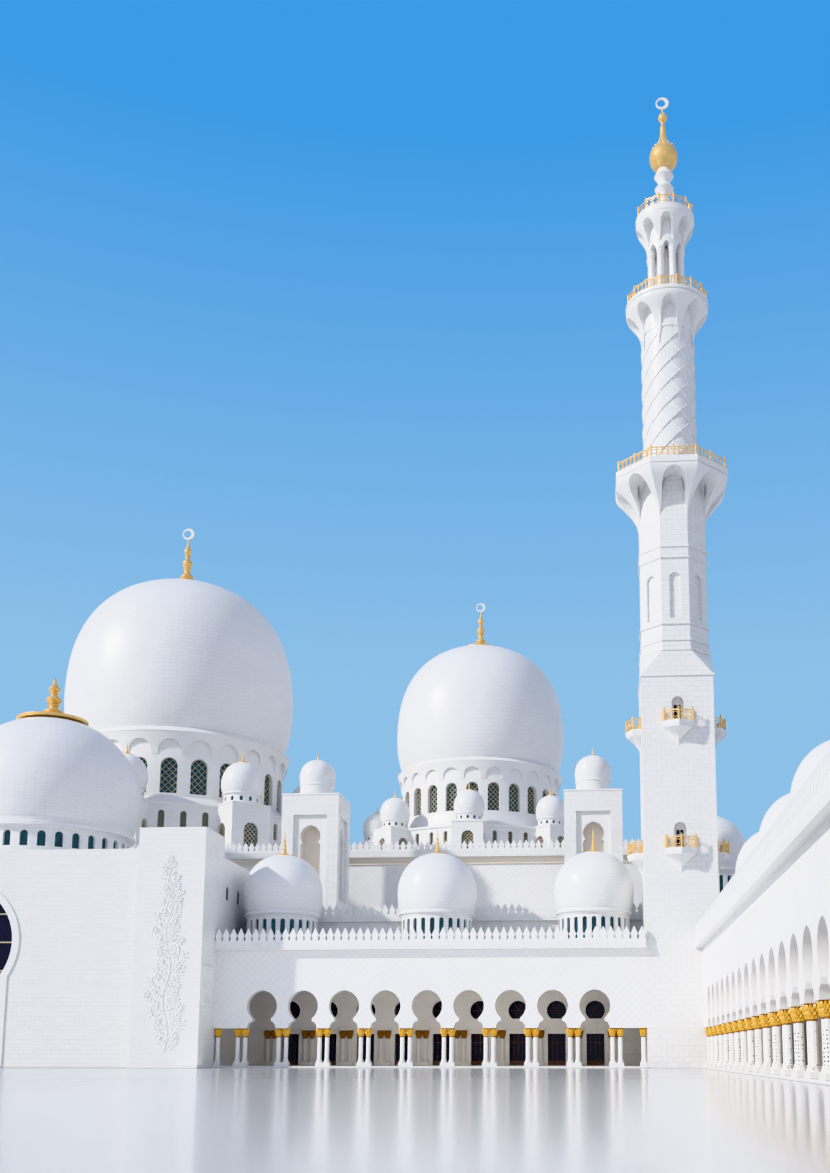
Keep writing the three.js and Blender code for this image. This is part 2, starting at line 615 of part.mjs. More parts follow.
// Radii and heights of a great finial's stack of balls, as shares of its height.
const FINIAL_STACK = [
  [0, 0], [0.055, 0], [0.07, 0.1], [0.02, 0.2], [0.06, 0.35], [0.015, 0.45], [0.04, 0.55], [0.012, 0.65],
  [0.01, 0.86], [0, 0.86],
];
const FINIAL_RING = 0.06;
const FINIAL_TUBE = 0.015;
const FINIAL_SIDES = 8;

function makeGreatFinial(d) {
  const crown = GREAT_DOME_OUTSIDE.at(-1)[1];
  const foot = d.ringZ + crown * d.drumRadius + GAP;
  const height = d.peak - foot;
  const points = FINIAL_STACK.map(([r, h]) => [r * height, h * height]);
  const stem = turned(points, FINIAL_SIDES, d.x, GREAT_DOME_Y, foot);
  const reach = (FINIAL_RING + FINIAL_TUBE) * height;
  const ring = crescent(d.x, GREAT_DOME_Y, d.peak - reach, FINIAL_RING * height, FINIAL_TUBE * height);
  add(`${d.name}_dome_finial`, stem.add(ring), gilt);
}

// Entrance block at the left: two tall piers, a wall with the great doorway, and a dome.
const PORTAL_WALL_THICKNESS = 0.9;
const PORTAL_DOOR_HALF = 4.6;
const PORTAL_DOOR_RING_Z = 12.2;
const PORTAL_DOOR_RADIUS = 5.6;
const PORTAL_DOOR_APEX = 18.2;
const PORTAL_DOOR_STEPS = 16;
const PORTAL_SHEET_MARGIN = 0.6;
const PORTAL_SHEET_THICKNESS = 0.15;
const SIDE_LIGHT_HALF = 0.45;
const SIDE_LIGHT_FOOT = 16.9;
const SIDE_LIGHT_TOP = 18.5;
const SIDE_LIGHT_SPACING = 3.8;
const SIDE_LIGHTS = 7;
const FIRST_SIDE_LIGHT = 1.4;
const PORTAL_DOME_Y = 14;
const PORTAL_DOME_SCALE = 2.49;
const PORTAL_DOME_SIDES = 16;
const PORTAL_DRUM_HEIGHT = 4;
const PORTAL_DOME_RISE = 2.04;

function makePortal() {
  const inWest = PORTAL_WEST + PORTAL_PIER_WIDTH;
  const inEast = PORTAL_EAST - PORTAL_PIER_WIDTH;
  const pier = (x0, x1) => box(x0, x1, PORTAL_FRONT_Y, PORTAL_PIER_BACK, 0, PORTAL_PIER_TOP);
  add('portal_pier_left', pier(PORTAL_WEST, inWest), marble);
  add('portal_pier_right', pier(inEast, PORTAL_EAST), marble);
  const ring = keyholeRing(
    MAIN_AXIS_X, PORTAL_DOOR_HALF, PORTAL_DOOR_RING_Z, PORTAL_DOOR_RADIUS, PORTAL_DOOR_APEX,
    PORTAL_DOOR_STEPS,
  );
  const front = outline([
    [inWest + GAP, WALL_FOOT], [MAIN_AXIS_X - PORTAL_DOOR_HALF, WALL_FOOT],
    ...ring, [MAIN_AXIS_X + PORTAL_DOOR_HALF, WALL_FOOT],
    [inEast - GAP, WALL_FOOT], [inEast - GAP, PORTAL_WALL_TOP], [inWest + GAP, PORTAL_WALL_TOP],
  ]);
  const wallBack = PORTAL_WALL_Y + PORTAL_WALL_THICKNESS;
  add('portal_front_wall', wallAlongX(front, PORTAL_WALL_Y, wallBack), marble);
  const sheet = PORTAL_DOOR_RADIUS + PORTAL_SHEET_MARGIN;
  add('portal_glass', box(
    MAIN_AXIS_X - sheet, MAIN_AXIS_X + sheet,
    wallBack + GAP, wallBack + PORTAL_SHEET_THICKNESS,
    WALL_FOOT, PORTAL_DOOR_APEX + PORTAL_SHEET_MARGIN,
  ), glass);
  const back = UPPER_FRONT_Y - GAP;
  const pierBack = PORTAL_PIER_BACK + GAP;
  const lightsThrough = (x0, x1) => range(SIDE_LIGHTS).map((i) => {
    const y = pierBack + FIRST_SIDE_LIGHT + i * SIDE_LIGHT_SPACING;
    const light = outline([
      [y - SIDE_LIGHT_HALF, SIDE_LIGHT_FOOT], [y + SIDE_LIGHT_HALF, SIDE_LIGHT_FOOT],
      [y + SIDE_LIGHT_HALF, SIDE_LIGHT_TOP - SIDE_LIGHT_HALF], [y, SIDE_LIGHT_TOP],
      [y - SIDE_LIGHT_HALF, SIDE_LIGHT_TOP - SIDE_LIGHT_HALF],
    ]);
    return wallAlongY(light, x0 - 1, x1 + 1);
  });
  const hallway = GALLERY_BACK_Y + WALL;
  const eastSide = outline([
    [pierBack, WALL_FOOT], [hallway, WALL_FOOT], [hallway, LOWER_SOFFIT],
    [back, LOWER_SOFFIT], [back, PORTAL_SOFFIT - GAP], [pierBack, PORTAL_SOFFIT - GAP],
  ]);
  const eastFrom = PORTAL_EAST - WALL;
  add('portal_right_wall', cutFrom(
    wallAlongY(eastSide, eastFrom, PORTAL_EAST), lightsThrough(eastFrom, PORTAL_EAST),
  ), marble);
  const westSide = outline([
    [pierBack, WALL_FOOT], [back, WALL_FOOT],
    [back, PORTAL_SOFFIT - GAP], [pierBack, PORTAL_SOFFIT - GAP],
  ]);
  const westTo = PORTAL_WEST + WALL;
  add('portal_left_wall', cutFrom(
    wallAlongY(westSide, PORTAL_WEST, westTo), lightsThrough(PORTAL_WEST, westTo),
  ), marble);
  const domeRadius = ARCADE_DOME_HOLE * PORTAL_DOME_SCALE;
  const roof = withHoles(outline([
    [inWest + GAP, wallBack + GAP], [inEast - GAP, wallBack + GAP], [inEast - GAP, pierBack],
    [PORTAL_EAST, pierBack], [PORTAL_EAST, back], [PORTAL_WEST, back],
    [PORTAL_WEST, pierBack], [inWest + GAP, pierBack],
  ]), [domeHole(MAIN_AXIS_X, PORTAL_DOME_Y, domeRadius, PORTAL_DOME_SIDES)]);
  add('portal_roof', slab(roof, PORTAL_SOFFIT, PORTAL_ROOF), marble);
  const drum = ARCADE_DRUM_HEIGHT;
  const enlarged = ([r, h]) => [
    r * PORTAL_DOME_SCALE,
    h > drum ? (h - drum) * PORTAL_DOME_RISE + PORTAL_DRUM_HEIGHT : h,
  ];
  const points = domeProfile(ARCADE_DOME_INSIDE, ARCADE_DOME_OUTSIDE, enlarged);
  const dome = turned(points, PORTAL_DOME_SIDES, MAIN_AXIS_X, PORTAL_DOME_Y, PORTAL_ROOF + GAP);
  add('portal_dome', dome, marble);
}

// Minaret: square shaft, eight-sided tier, three galleries, round shaft, lantern and finial.
const MINARET_WALL = 0.9;
const SQUARE_TOP = 39.1;
const OCTAGON_FOOT = 41.6;
const OCTAGON_FLAT = 3.4;
const OCTAGON_TOP = 55.1;
const STAIR_RADIUS = 1.5;
const FIRST_DECK = 61.5;
const SECOND_DECK = 81.5;
const LANTERN_TOP = 88.4;
const THIRD_DECK = 92;
const NECK_TOP = 98.2;
const CRESCENT_Z = 106.6;
const CRESCENT_RADIUS = 0.6;
const CRESCENT_TUBE = 0.14;
const RAIL_THICKNESS = 0.14;
const RAIL_HEIGHT = 1.15;
const SHAFT_RADIUS = 2.87;
const SHAFT_TOP = 77.8;
const WELL_FLAT = 2.4;
const BAND = 0.15;

const BALCONY_HALF = 1.55;
const BALCONY_REACH = 1.57;
const BALCONY_SHOULDER = 0.86;
const BALCONY_DECKS = [21.2, 34];
const BALCONY_SLAB = 0.6;
const BALCONY_BRACKET = 1.9;
const BALCONY_RAIL = 1.4;
const BALCONY_DOOR_HALF = 0.6;
const BALCONY_DOOR_SPRING = 2.3;
const BALCONY_DOOR_CROWN = 2.75;

// Outline of a balcony in plan, seen from its wall: straight sides and a blunt prow.
const balconyPlan = (inset) => [
  [-BALCONY_HALF + inset, 0], [-BALCONY_HALF + inset, -BALCONY_SHOULDER],
  [0, -BALCONY_REACH + inset], [BALCONY_HALF - inset, -BALCONY_SHOULDER], [BALCONY_HALF - inset, 0],
];

function balcony(deck) {
  const half = MINARET_SIDE / 2;
  const plate = slab(outline(balconyPlan(0)), deck - BALCONY_SLAB, deck);
  const under = deck - BALCONY_SLAB;
  const bracketPoints = balconyPlan(BAND).map(([x, y]) => new THREE.Vector3(x, y, under + GAP));
  bracketPoints.push(new THREE.Vector3(0, 0, under - BALCONY_BRACKET));
  const bracket = solid(new ConvexGeometry(bracketPoints));
  const rail = slab(outline(balconyPlan(0)), deck - GAP, deck + BALCONY_RAIL)
    .subtract(slab(outline(balconyPlan(RAIL_THICKNESS)), deck, deck + BALCONY_RAIL + 1));
  const sunk = 0.05;
  return joined([plate, bracket, rail]).translate([0, -half + sunk, 0]);
}

function balconyDoor(deck) {
  const half = BALCONY_DOOR_HALF;
  const shape = outline([
    [half, deck], [half, deck + BALCONY_DOOR_SPRING], [half / 2, deck + BALCONY_DOOR_CROWN],
    [-half / 2, deck + BALCONY_DOOR_CROWN], [-half, deck + BALCONY_DOOR_SPRING], [-half, deck],
  ]);
  const face = -MINARET_SIDE / 2;
  return wallAlongX(shape, face - GAP, face + MINARET_WALL + WALL);
}

const atMinaret = (body) => body.translate([MINARET_X, MINARET_Y, 0]);
const fourSides = (body) => range(4).map((i) => body.rotate([0, 0, 90 * i]));

function makeMinaretBase() {
  const half = MINARET_SIDE / 2;
  const inner = half - MINARET_WALL;
  const shaft = box(-half, half, -half, half, 0, SQUARE_TOP);
  const room = box(-inner, inner, -inner, inner, -1, SQUARE_TOP + 1);
  const balconies = BALCONY_DECKS.flatMap((deck) => fourSides(balcony(deck)));
  const doors = BALCONY_DECKS.flatMap((deck) => fourSides(balconyDoor(deck)));
  add('minaret_square_shaft', atMinaret(cutFrom(joined([shaft, ...balconies]), [room, ...doors])), marble);
  const square = [[-half, -half], [half, -half], [half, half], [-half, half]]
    .map(([x, y]) => new THREE.Vector3(x, y, SQUARE_TOP + GAP));
  const radius = cornerRadius(OCTAGON_FLAT + BAND, 8);
  const eight = circlePoints(0, 0, radius, 8, Math.PI / 8)
    .map(([x, y]) => new THREE.Vector3(x, y, OCTAGON_FOOT - GAP));
  const spread = solid(new ConvexGeometry([...square, ...eight]));
  const well = turned([
    [0, SQUARE_TOP - 1], [WELL_FLAT, SQUARE_TOP - 1], [WELL_FLAT, OCTAGON_FOOT + 1], [0, OCTAGON_FOOT + 1],
  ], 8, 0, 0, 0);
  add('minaret_transition', atMinaret(spread.subtract(well)), marble);
}

// Flat radius and height of each corner, up the eight-sided tier.
const OCTAGON_PROFILE = [
  [OCTAGON_FLAT + BAND, OCTAGON_FOOT], [OCTAGON_FLAT + BAND, 42.7], [OCTAGON_FLAT, 42.8],
  [OCTAGON_FLAT, 51.5], [OCTAGON_FLAT + BAND, 51.6], [OCTAGON_FLAT + BAND, 52.6],
  [OCTAGON_FLAT, 52.7], [OCTAGON_FLAT, OCTAGON_TOP - GAP],
];
const BLIND_ARCH = [
  [0.55, 45.1], [0.55, 49.5], [0.3, 49.95], [-0.3, 49.95], [-0.55, 49.5], [-0.55, 45.1],
];
const BLIND_ARCH_DEPTH = 0.25;

function makeMinaretOctagon() {
  const body = turned([
    [cornerRadius(WELL_FLAT, 8), OCTAGON_FOOT],
    ...OCTAGON_PROFILE.map(([flat, z]) => [cornerRadius(flat, 8), z]),
    [cornerRadius(WELL_FLAT, 8), OCTAGON_TOP - GAP],
  ], 8, 0, 0, 0);
  const niche = wallAlongX(outline(BLIND_ARCH), -OCTAGON_FLAT - 1, -OCTAGON_FLAT + BLIND_ARCH_DEPTH);
  const niches = range(8).map((i) => niche.rotate([0, 0, 45 * i]));
  add('minaret_octagon', atMinaret(cutFrom(body, niches)), marble);
}

// Corbelled galleries: a flare under the deck, with eight pointed niches sunk into it.
const FIRST_CORBEL = [
  [OCTAGON_FLAT, OCTAGON_TOP], [OCTAGON_FLAT + 0.1, 56.8], [4.3, 58.4],
  [5.6, 59.9], [5.8, 60.9], [5.8, FIRST_DECK],
];
const FIRST_NICHE = { half: 1.05, foot: 56.6, spring: 59, top: 60.4, back: OCTAGON_FLAT + 0.02 };
const FIRST_RAIL_FLAT = 5.7;
const SECOND_CORBEL = [
  [SHAFT_RADIUS, SHAFT_TOP], [3, 78.3], [4.2, 80], [4.45, 80.5], [4.45, SECOND_DECK],
];
const SECOND_NICHE = { half: 0.72, foot: 77.9, spring: 79.2, top: 80.2, back: SHAFT_RADIUS };
const SECOND_RAIL_FLAT = 4.35;
const ROUND_SHAFT = [[3.1, FIRST_DECK + GAP], [SHAFT_RADIUS, 62.6], [SHAFT_RADIUS, SHAFT_TOP - GAP]];
const THIRD_CORBEL = [
  [0, LANTERN_TOP + GAP], [2.1, LANTERN_TOP + GAP], [2.3, 89.4], [3.1, 90.5], [3.2, 90.8], [3.2, THIRD_DECK],
];
const THIRD_RAIL_FLAT = 3.1;
const NECK = [
  [1.9, THIRD_DECK], [1.5, 93], [0.85, 94.8], [1.07, 95.9],
  [0.75, 96.6], [1.07, 97.5], [0.7, NECK_TOP], [0, NECK_TOP],
];
const GILT_BULB = [
  [0, NECK_TOP + GAP], [0.7, NECK_TOP + GAP], [1.5, 99.3], [0.9, 100.8], [0.3, 101.8], [0.25, 103.8],
  [0.47, 104.6], [0.08, 106.1], [0, 106.1],
];

function corbel(name, profile, sides, well, niche) {
  const corners = [[well, profile[0][1]], ...profile, [well, profile.at(-1)[1]]];
  const flare = turned(corners.map(([flat, z]) => [cornerRadius(flat, sides), z]), sides, 0, 0, 0);
  const shoulder = niche.half * 0.6;
  const shoulderZ = niche.spring + (niche.top - niche.spring) * 0.6;
  const arch = outline([
    [niche.half, niche.foot], [niche.half, niche.spring], [shoulder, shoulderZ], [0, niche.top],
    [-shoulder, shoulderZ], [-niche.half, niche.spring], [-niche.half, niche.foot],
  ]);
  const cutter = wallAlongX(arch, -2 * profile.at(-1)[0], -niche.back);
  const cutters = range(8).map((i) => cutter.rotate([0, 0, 45 * i]));
  add(name, atMinaret(cutFrom(flare, cutters)), marble);
}

function rail(name, flat, sides, deck) {
  const outer = cornerRadius(flat, sides);
  const inner = cornerRadius(flat - RAIL_THICKNESS, sides);
  const foot = deck + GAP;
  const top = deck + RAIL_HEIGHT;
  const ring = turned([[inner, foot], [outer, foot], [outer, top], [inner, top]], sides, 0, 0, 0);
  add(name, atMinaret(ring), gilt);
}

function makeMinaretTop() {
  corbel('minaret_first_gallery', FIRST_CORBEL, 8, WELL_FLAT, FIRST_NICHE);
  rail('minaret_first_rail', FIRST_RAIL_FLAT, 8, FIRST_DECK);
  const well = [[STAIR_RADIUS, FIRST_DECK + GAP], ...ROUND_SHAFT, [STAIR_RADIUS, SHAFT_TOP - GAP]];
  add('minaret_round_shaft', atMinaret(turned(well, 16, 0, 0, 0)), marble);
  corbel('minaret_second_gallery', SECOND_CORBEL, 16, STAIR_RADIUS, SECOND_NICHE);
  rail('minaret_second_rail', SECOND_RAIL_FLAT, 16, SECOND_DECK);
  makeLantern();
  add('minaret_third_gallery', atMinaret(turned([...THIRD_CORBEL, ...NECK], 12, 0, 0, 0)), marble);
  rail('minaret_third_rail', THIRD_RAIL_FLAT, 12, THIRD_DECK);
  const ring = crescent(0, 0, CRESCENT_Z, CRESCENT_RADIUS, CRESCENT_TUBE);
  add('minaret_finial', atMinaret(turned(GILT_BULB, 8, 0, 0, 0).add(ring)), gilt);
}

// Lantern: a ring of slim columns round a core, between a sill and a head.
const LANTERN_SILL_TOP = 82.6;
const LANTERN_HEAD_FOOT = 86.9;
const LANTERN_SILL_RADIUS = 2.15;
const LANTERN_HEAD_RADIUS = 2.05;
const LANTERN_CORE_RADIUS = 0.8;
const LANTERN_RING = 1.65;
const LANTERN_POST_RADIUS = 0.33;

function makeLantern() {
  const drum = (radius, sides, y, z0, z1) => turned(
    [[0, z0], [radius, z0], [radius, z1], [0, z1]], sides, 0, y, 0,
  );
  const sill = drum(LANTERN_SILL_RADIUS, 8, 0, SECOND_DECK + GAP, LANTERN_SILL_TOP);
  const head = drum(LANTERN_HEAD_RADIUS, 8, 0, LANTERN_HEAD_FOOT, LANTERN_TOP);
  const core = drum(LANTERN_CORE_RADIUS, 8, 0, LANTERN_SILL_TOP - BAND, LANTERN_HEAD_FOOT + BAND);
  const post = drum(LANTERN_POST_RADIUS, 6, -LANTERN_RING, LANTERN_SILL_TOP - BAND, LANTERN_HEAD_FOOT + BAND);
  const posts = range(8).map((i) => post.rotate([0, 0, 45 * i + 22.5]));
  add('minaret_lantern', atMinaret(joined([sill, head, core, ...posts])), marble);
}

makeFloor();
makeFrontArcade();
makeSideArcade();
makeGalleryBackWall();
makeLowerHall();
makeTower('tower_left', frontArchXs[0]);
makeTower('tower_right', frontArchXs.at(-1));
makeUpperHall();
for (const dome of [SECOND_DOME, MAIN_DOME]) {
  makeDomeBase(dome);
  makeDrum(dome);
  makeShell(dome);
  makeGreatFinial(dome);
}
makePortal();
makeMinaretBase();
makeMinaretOctagon();
makeMinaretTop();

export default building;
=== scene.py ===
# A mosque at 1:10, dressed around its CAD frame: marble, arcades, domes, towers and minaret.
# Lengths in this script are metres of the full-size building unless a name says model.
from math import asin, atan2, cos, pi, radians, sin, tan, tau

import bmesh
import bpy
from bpy.props import FloatProperty, FloatVectorProperty, IntProperty, PointerProperty
from mathutils import Matrix, Vector


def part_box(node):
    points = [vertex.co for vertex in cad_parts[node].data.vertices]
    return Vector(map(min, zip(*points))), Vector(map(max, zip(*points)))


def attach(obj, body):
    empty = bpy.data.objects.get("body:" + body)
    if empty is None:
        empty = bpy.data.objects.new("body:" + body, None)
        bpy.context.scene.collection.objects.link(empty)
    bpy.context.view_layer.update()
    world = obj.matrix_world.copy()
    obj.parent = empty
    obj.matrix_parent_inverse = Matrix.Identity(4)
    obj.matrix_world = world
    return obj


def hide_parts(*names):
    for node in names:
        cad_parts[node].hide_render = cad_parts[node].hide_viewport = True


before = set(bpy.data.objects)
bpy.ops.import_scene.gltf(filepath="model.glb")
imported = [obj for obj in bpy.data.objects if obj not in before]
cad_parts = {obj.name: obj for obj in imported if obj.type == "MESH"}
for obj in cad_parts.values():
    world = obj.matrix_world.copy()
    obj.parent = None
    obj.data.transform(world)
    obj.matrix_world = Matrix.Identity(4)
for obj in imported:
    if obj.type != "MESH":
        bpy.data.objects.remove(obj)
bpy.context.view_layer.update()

bl_info = {
    "name": "Mosque Builder",
    "version": (1, 0, 0),
    "blender": (4, 5, 0),
    "location": "3D View > Sidebar > Mosque",
    "description": "Adds the fine parts and finishes of a 1:10 mosque to its frame",
    "category": "Add Mesh",
}

# Scale and origin
MODEL_SCALE = 0.1
MIDDLE = Vector((-32.775, 3.75, 0))
TO_MODEL = Matrix.Scale(MODEL_SCALE, 4) @ Matrix.Translation(-MIDDLE)
HERE = Matrix.Identity(4)
# Gap that keeps the faces of a piece off those of the CAD nodes that stay
GAP = 0.003


def full_size_box(node):
    """Lowest and highest corner of a CAD node in metres of the building."""
    return tuple(Vector(corner) / MODEL_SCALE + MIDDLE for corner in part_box(node))


# Levels
FLOOR_TOP = 0.15
CAPITAL_TOP = 3.82
ARCADE_SOFFIT = 11.5
ARCADE_ROOF = 12.1
ARCADE_MERLON_TOP = 13.63
LOWER_ROOF = 16.1
UPPER_ROOF = 26.3

# Plan
WALL = 0.9
ROOF_OVERHANG = 0.7
PARAPET_SETBACK = 0.05
ARCH_PITCH = 4.096
GALLERY_BACK_Y = 11.5
SIDE_FACE_X = 10.13
SOUTH = -75.1
PORTAL_EAST = -37.85
PORTAL_WEST = -87.55
MINARET_WEST = 4.7
MINARET_HALF = 3.6
MINARET = Vector((8.3, 3.6, 0))
MAIN_AXIS_X = -62.7
SECOND_AXIS_X = -17.0
GREAT_DOME_Y = 56.3
ARCADE_DOME_INSET = 6.9
FRONT_ARCHES = [-33.07 + i * ARCH_PITCH for i in range(9)]
SIDE_ARCHES = [5.8 + i * ARCH_PITCH for i in range(17)]
DOME_EVERY = 4


def at(x=0.0, y=0.0, z=0.0, turn=0.0):
    """Place for a shape: moved there after a turn about Z, in radians."""
    return Matrix.Translation((x, y, z)) @ Matrix.Rotation(turn, 4, "Z")


# The side arcade's own frame: x runs from the minaret along its wall, y goes into the gallery.
SIDE_WING = at(SIDE_FACE_X, 0, 0, -pi / 2)


class Wing:
    """One arcade: where it stands, its ends along the wall and the middles of its arches."""

    def __init__(self, name, place, start, end, arches):
        self.name = name
        self.place = place
        self.start = start
        self.end = end
        self.arches = arches

    def piers(self):
        half = ARCH_PITCH / 2
        return [self.arches[0] - half] + [x + half for x in self.arches]


WINGS = (
    Wing("front", HERE, PORTAL_EAST, MINARET_WEST, FRONT_ARCHES),
    Wing("side", SIDE_WING, 0.0, -SOUTH - WALL, SIDE_ARCHES),
)


# Shapes: each function returns a bmesh that Work.add copies to its places.
def finished(bm):
    """Closes seams and poles, and turns the faces outwards."""
    bmesh.ops.remove_doubles(bm, verts=bm.verts, dist=1e-5)
    bmesh.ops.dissolve_degenerate(bm, edges=bm.edges, dist=1e-6)
    bmesh.ops.recalc_face_normals(bm, faces=bm.faces)
    return bm


def closed_line(bm, points):
    verts = [bm.verts.new(point) for point in points]
    return [bm.edges.new(pair) for pair in zip(verts, verts[1:] + verts[:1])]


def fill(bm, outline, holes):
    """Fills an upright (x, z) outline on y = 0, apart from its holes."""
    edges = []
    for points in (outline, *holes):
        edges += closed_line(bm, [(x, 0, z) for x, z in points])
    bmesh.ops.triangle_fill(bm, use_beauty=True, use_dissolve=False, edges=edges)


def outline_face(bm, points):
    """One flat face with the given corners."""
    return bmesh.ops.contextual_create(bm, geom=closed_line(bm, points))["faces"]


def push(bm, faces, way):
    """Extrudes faces along a vector."""
    grown = bmesh.ops.extrude_face_region(bm, geom=faces)
    verts = [item for item in grown["geom"] if isinstance(item, bmesh.types.BMVert)]
    bmesh.ops.translate(bm, verts=verts, vec=way)


def move(bm, x=0.0, y=0.0, z=0.0):
    bmesh.ops.translate(bm, verts=bm.verts, vec=(x, y, z))


def bevel(bm, width):
    bmesh.ops.bevel(
        bm, geom=bm.edges, offset=width, affect="EDGES", segments=1, profile=0.5, material=-1,
    )


def plate(outline, holes=(), depth=WALL):
    """Upright slab from (x, z) outlines, its face on y = 0 and its back at y = depth."""
    bm = bmesh.new()
    fill(bm, outline, holes)
    push(bm, list(bm.faces), (0, depth, 0))
    return finished(bm)


def turned(profile, steps=48):
    """Turned form from (radius, height) points; an open profile is closed along the axis."""
    bm = bmesh.new()
    points = list(profile)
    if points[0][0] > 0 and points[-1][0] > 0:
        points.append(points[0])
    verts = [bm.verts.new((r, 0, z)) for r, z in points]
    edges = [bm.edges.new(pair) for pair in zip(verts, verts[1:])]
    bmesh.ops.spin(
        bm, geom=verts + edges, cent=(0, 0, 0), axis=(0, 0, 1), dvec=(0, 0, 0),
        angle=tau, steps=steps, use_merge=True,
    )
    return finished(bm)


def prism(profile, sides, turn=0.0):
    """Many-sided form: like turned, with flat sides whose middles lie at the given distance."""
    grow = 1 / cos(pi / sides)
    bm = turned(scaled(profile, grow, 1), sides)
    bmesh.ops.rotate(bm, verts=bm.verts, matrix=Matrix.Rotation(turn + pi / sides, 3, "Z"))
    return bm


def block(x0, x1, y0, y1, z0, z1, soften=0.0):
    """Box between two corners, with its edges bevelled by soften."""
    bm = bmesh.new()
    size = Matrix.Diagonal((x1 - x0, y1 - y0, z1 - z0, 1))
    middle = Matrix.Translation(((x0 + x1) / 2, (y0 + y1) / 2, (z0 + z1) / 2))
    bmesh.ops.create_cube(bm, size=1, matrix=middle @ size)
    if soften:
        bevel(bm, soften)
    return bm


def bar(start, end, width, depth=None):
    """Straight bar of square section between two points."""
    start = Vector(start)
    end = Vector(end)
    along = end - start
    bm = bmesh.new()
    size = Matrix.Diagonal((width, depth or width, along.length, 1))
    turn = along.to_track_quat("Z", "Y").to_matrix().to_4x4()
    middle = Matrix.Translation((start + end) / 2)
    bmesh.ops.create_cube(bm, size=1, matrix=middle @ turn @ size)
    return bm


def facet(sides, flat, foot, top, holes, depth, cuts=()):
    """One side of a many-sided wall round the origin, mitred at its ends, with openings.
    Each strip of a side that is cut upright has one of the openings."""
    half = flat * tan(pi / sides)
    edges = [-half, *cuts, half]
    bm = bmesh.new()
    for i, (left, right) in enumerate(zip(edges, edges[1:])):
        inside = holes[i:i + 1] if cuts else holes
        fill(bm, rectangle(left, right, foot, top), inside)
    bmesh.ops.remove_doubles(bm, verts=bm.verts, dist=1e-5)
    push(bm, list(bm.faces), (0, depth, 0))
    finished(bm)
    for vert in bm.verts:
        if vert.co.y > 0 and abs(abs(vert.co.x) - half) < 1e-4:
            vert.co.x *= (flat - depth) / flat
    move(bm, y=-flat)
    return bm


def flared_bay(profile, core, opening, flat=True):
    """One bay of eight of a gallery's flare: its face follows a (distance, height) profile round the
    axis, its back stands on the core, and an arched opening runs up from its foot."""
    half_turn = pi / 8
    heights = [z for _, z in profile]

    def reach(z):
        for (r0, z0), (r1, z1) in zip(profile, profile[1:]):
            if z <= z1:
                return r0 + (r1 - r0) * max(0.0, z - z0) / (z1 - z0)
        return profile[-1][0]

    arch = [(x / (reach(z) * tan(half_turn)), z) for x, z in opening]
    outline = [(-1, heights[0]), *arch, (1, heights[0]), (1, heights[-1]), (-1, heights[-1])]
    bm = plate(outline, depth=1.0)
    cut(bm, () if flat else (-0.75, -0.5, -0.25, 0, 0.25, 0.5, 0.75), heights[1:-1])
    for vert in bm.verts:
        share, behind, z = vert.co
        front = reach(z)
        distance = core if behind > 0.5 else front
        if flat:
            edge = abs(share) > 0.999
            across = share * tan(half_turn) * (distance if edge else front)
            vert.co = Vector((across, -distance, z))
        else:
            angle = share * half_turn
            vert.co = Vector((distance * sin(angle), -distance * cos(angle), z))
    return finished(bm)


def moulding(outline, start, end):
    """Strip along x with a (y, z) section."""
    bm = bmesh.new()
    push(bm, outline_face(bm, [(start, y, z) for y, z in outline]), (end - start, 0, 0))
    return finished(bm)


def ring(radius, tube, steps, sides):
    """Torus round the Z axis."""
    return turned(arc(radius, 0, tube, 0, tau, sides)[:-1], steps)


def cut(bm, columns=(), rows=()):
    """Cuts a shape at upright and level planes, so that it can bend there."""
    planes = [((x, 0, 0), (1, 0, 0)) for x in columns] + [((0, 0, z), (0, 0, 1)) for z in rows]
    for spot, normal in planes:
        bmesh.ops.bisect_plane(
            bm, geom=[*bm.verts, *bm.edges, *bm.faces], plane_co=spot, plane_no=normal,
        )


def crescent(radius):
    """Upright ring round the origin, thick on one side and thin on the other."""
    outer = arc(0, 0, radius, 0, tau, 32)[:-1]
    inner = arc(-0.17 * radius, 0.02 * radius, 0.65 * radius, 0, tau, 24)[:-1]
    bm = plate(outer, [inner], 0.24 * radius)
    bevel(bm, 0.04 * radius)
    move(bm, y=-0.12 * radius)
    return bm


def bent(bm, radius, columns=()):
    """Wraps a flat shape round the Z axis: x becomes arc length, and y = 0 the outer face."""
    cut(bm, columns)
    for vert in bm.verts:
        angle = vert.co.x / radius
        reach = radius - vert.co.y
        vert.co.x = reach * sin(angle)
        vert.co.y = -reach * cos(angle)
    return bm


def around(count, turn=0.0):
    """Places for count copies round the Z axis."""
    return [at(0, 0, 0, turn + i * tau / count) for i in range(count)]


# Outlines
def arc(x, z, radius, start, end, steps):
    """Points of an arc; angles in radians, counted from +x towards +z."""
    turns = [start + (end - start) * i / steps for i in range(steps + 1)]
    return [(x + radius * cos(a), z + radius * sin(a)) for a in turns]


def mirrored(points):
    """The points and their mirror images about x = 0, from the left foot to the right one."""
    left = [(-x, z) for x, z in points]
    return left + [point for point in reversed(points) if point[0] > 0]


def round_arch(half, foot, top, steps=6):
    """Arched opening: straight sides and a half circle."""
    right = [(half, foot)] + arc(0, top - half, half, 0, pi / 2, steps)
    return mirrored(right)


def pointed_arch(half, foot, spring, top):
    """Arched opening with a blunt point."""
    steps = 7
    rise = top - spring
    right = [(half, foot)]
    for i in range(steps + 1):
        share = i / steps
        right.append((half * cos(share * pi / 2) ** 0.8, spring + rise * sin(share * pi / 2) ** 1.1))
    right[-1] = (0.0, top)
    return mirrored(right)


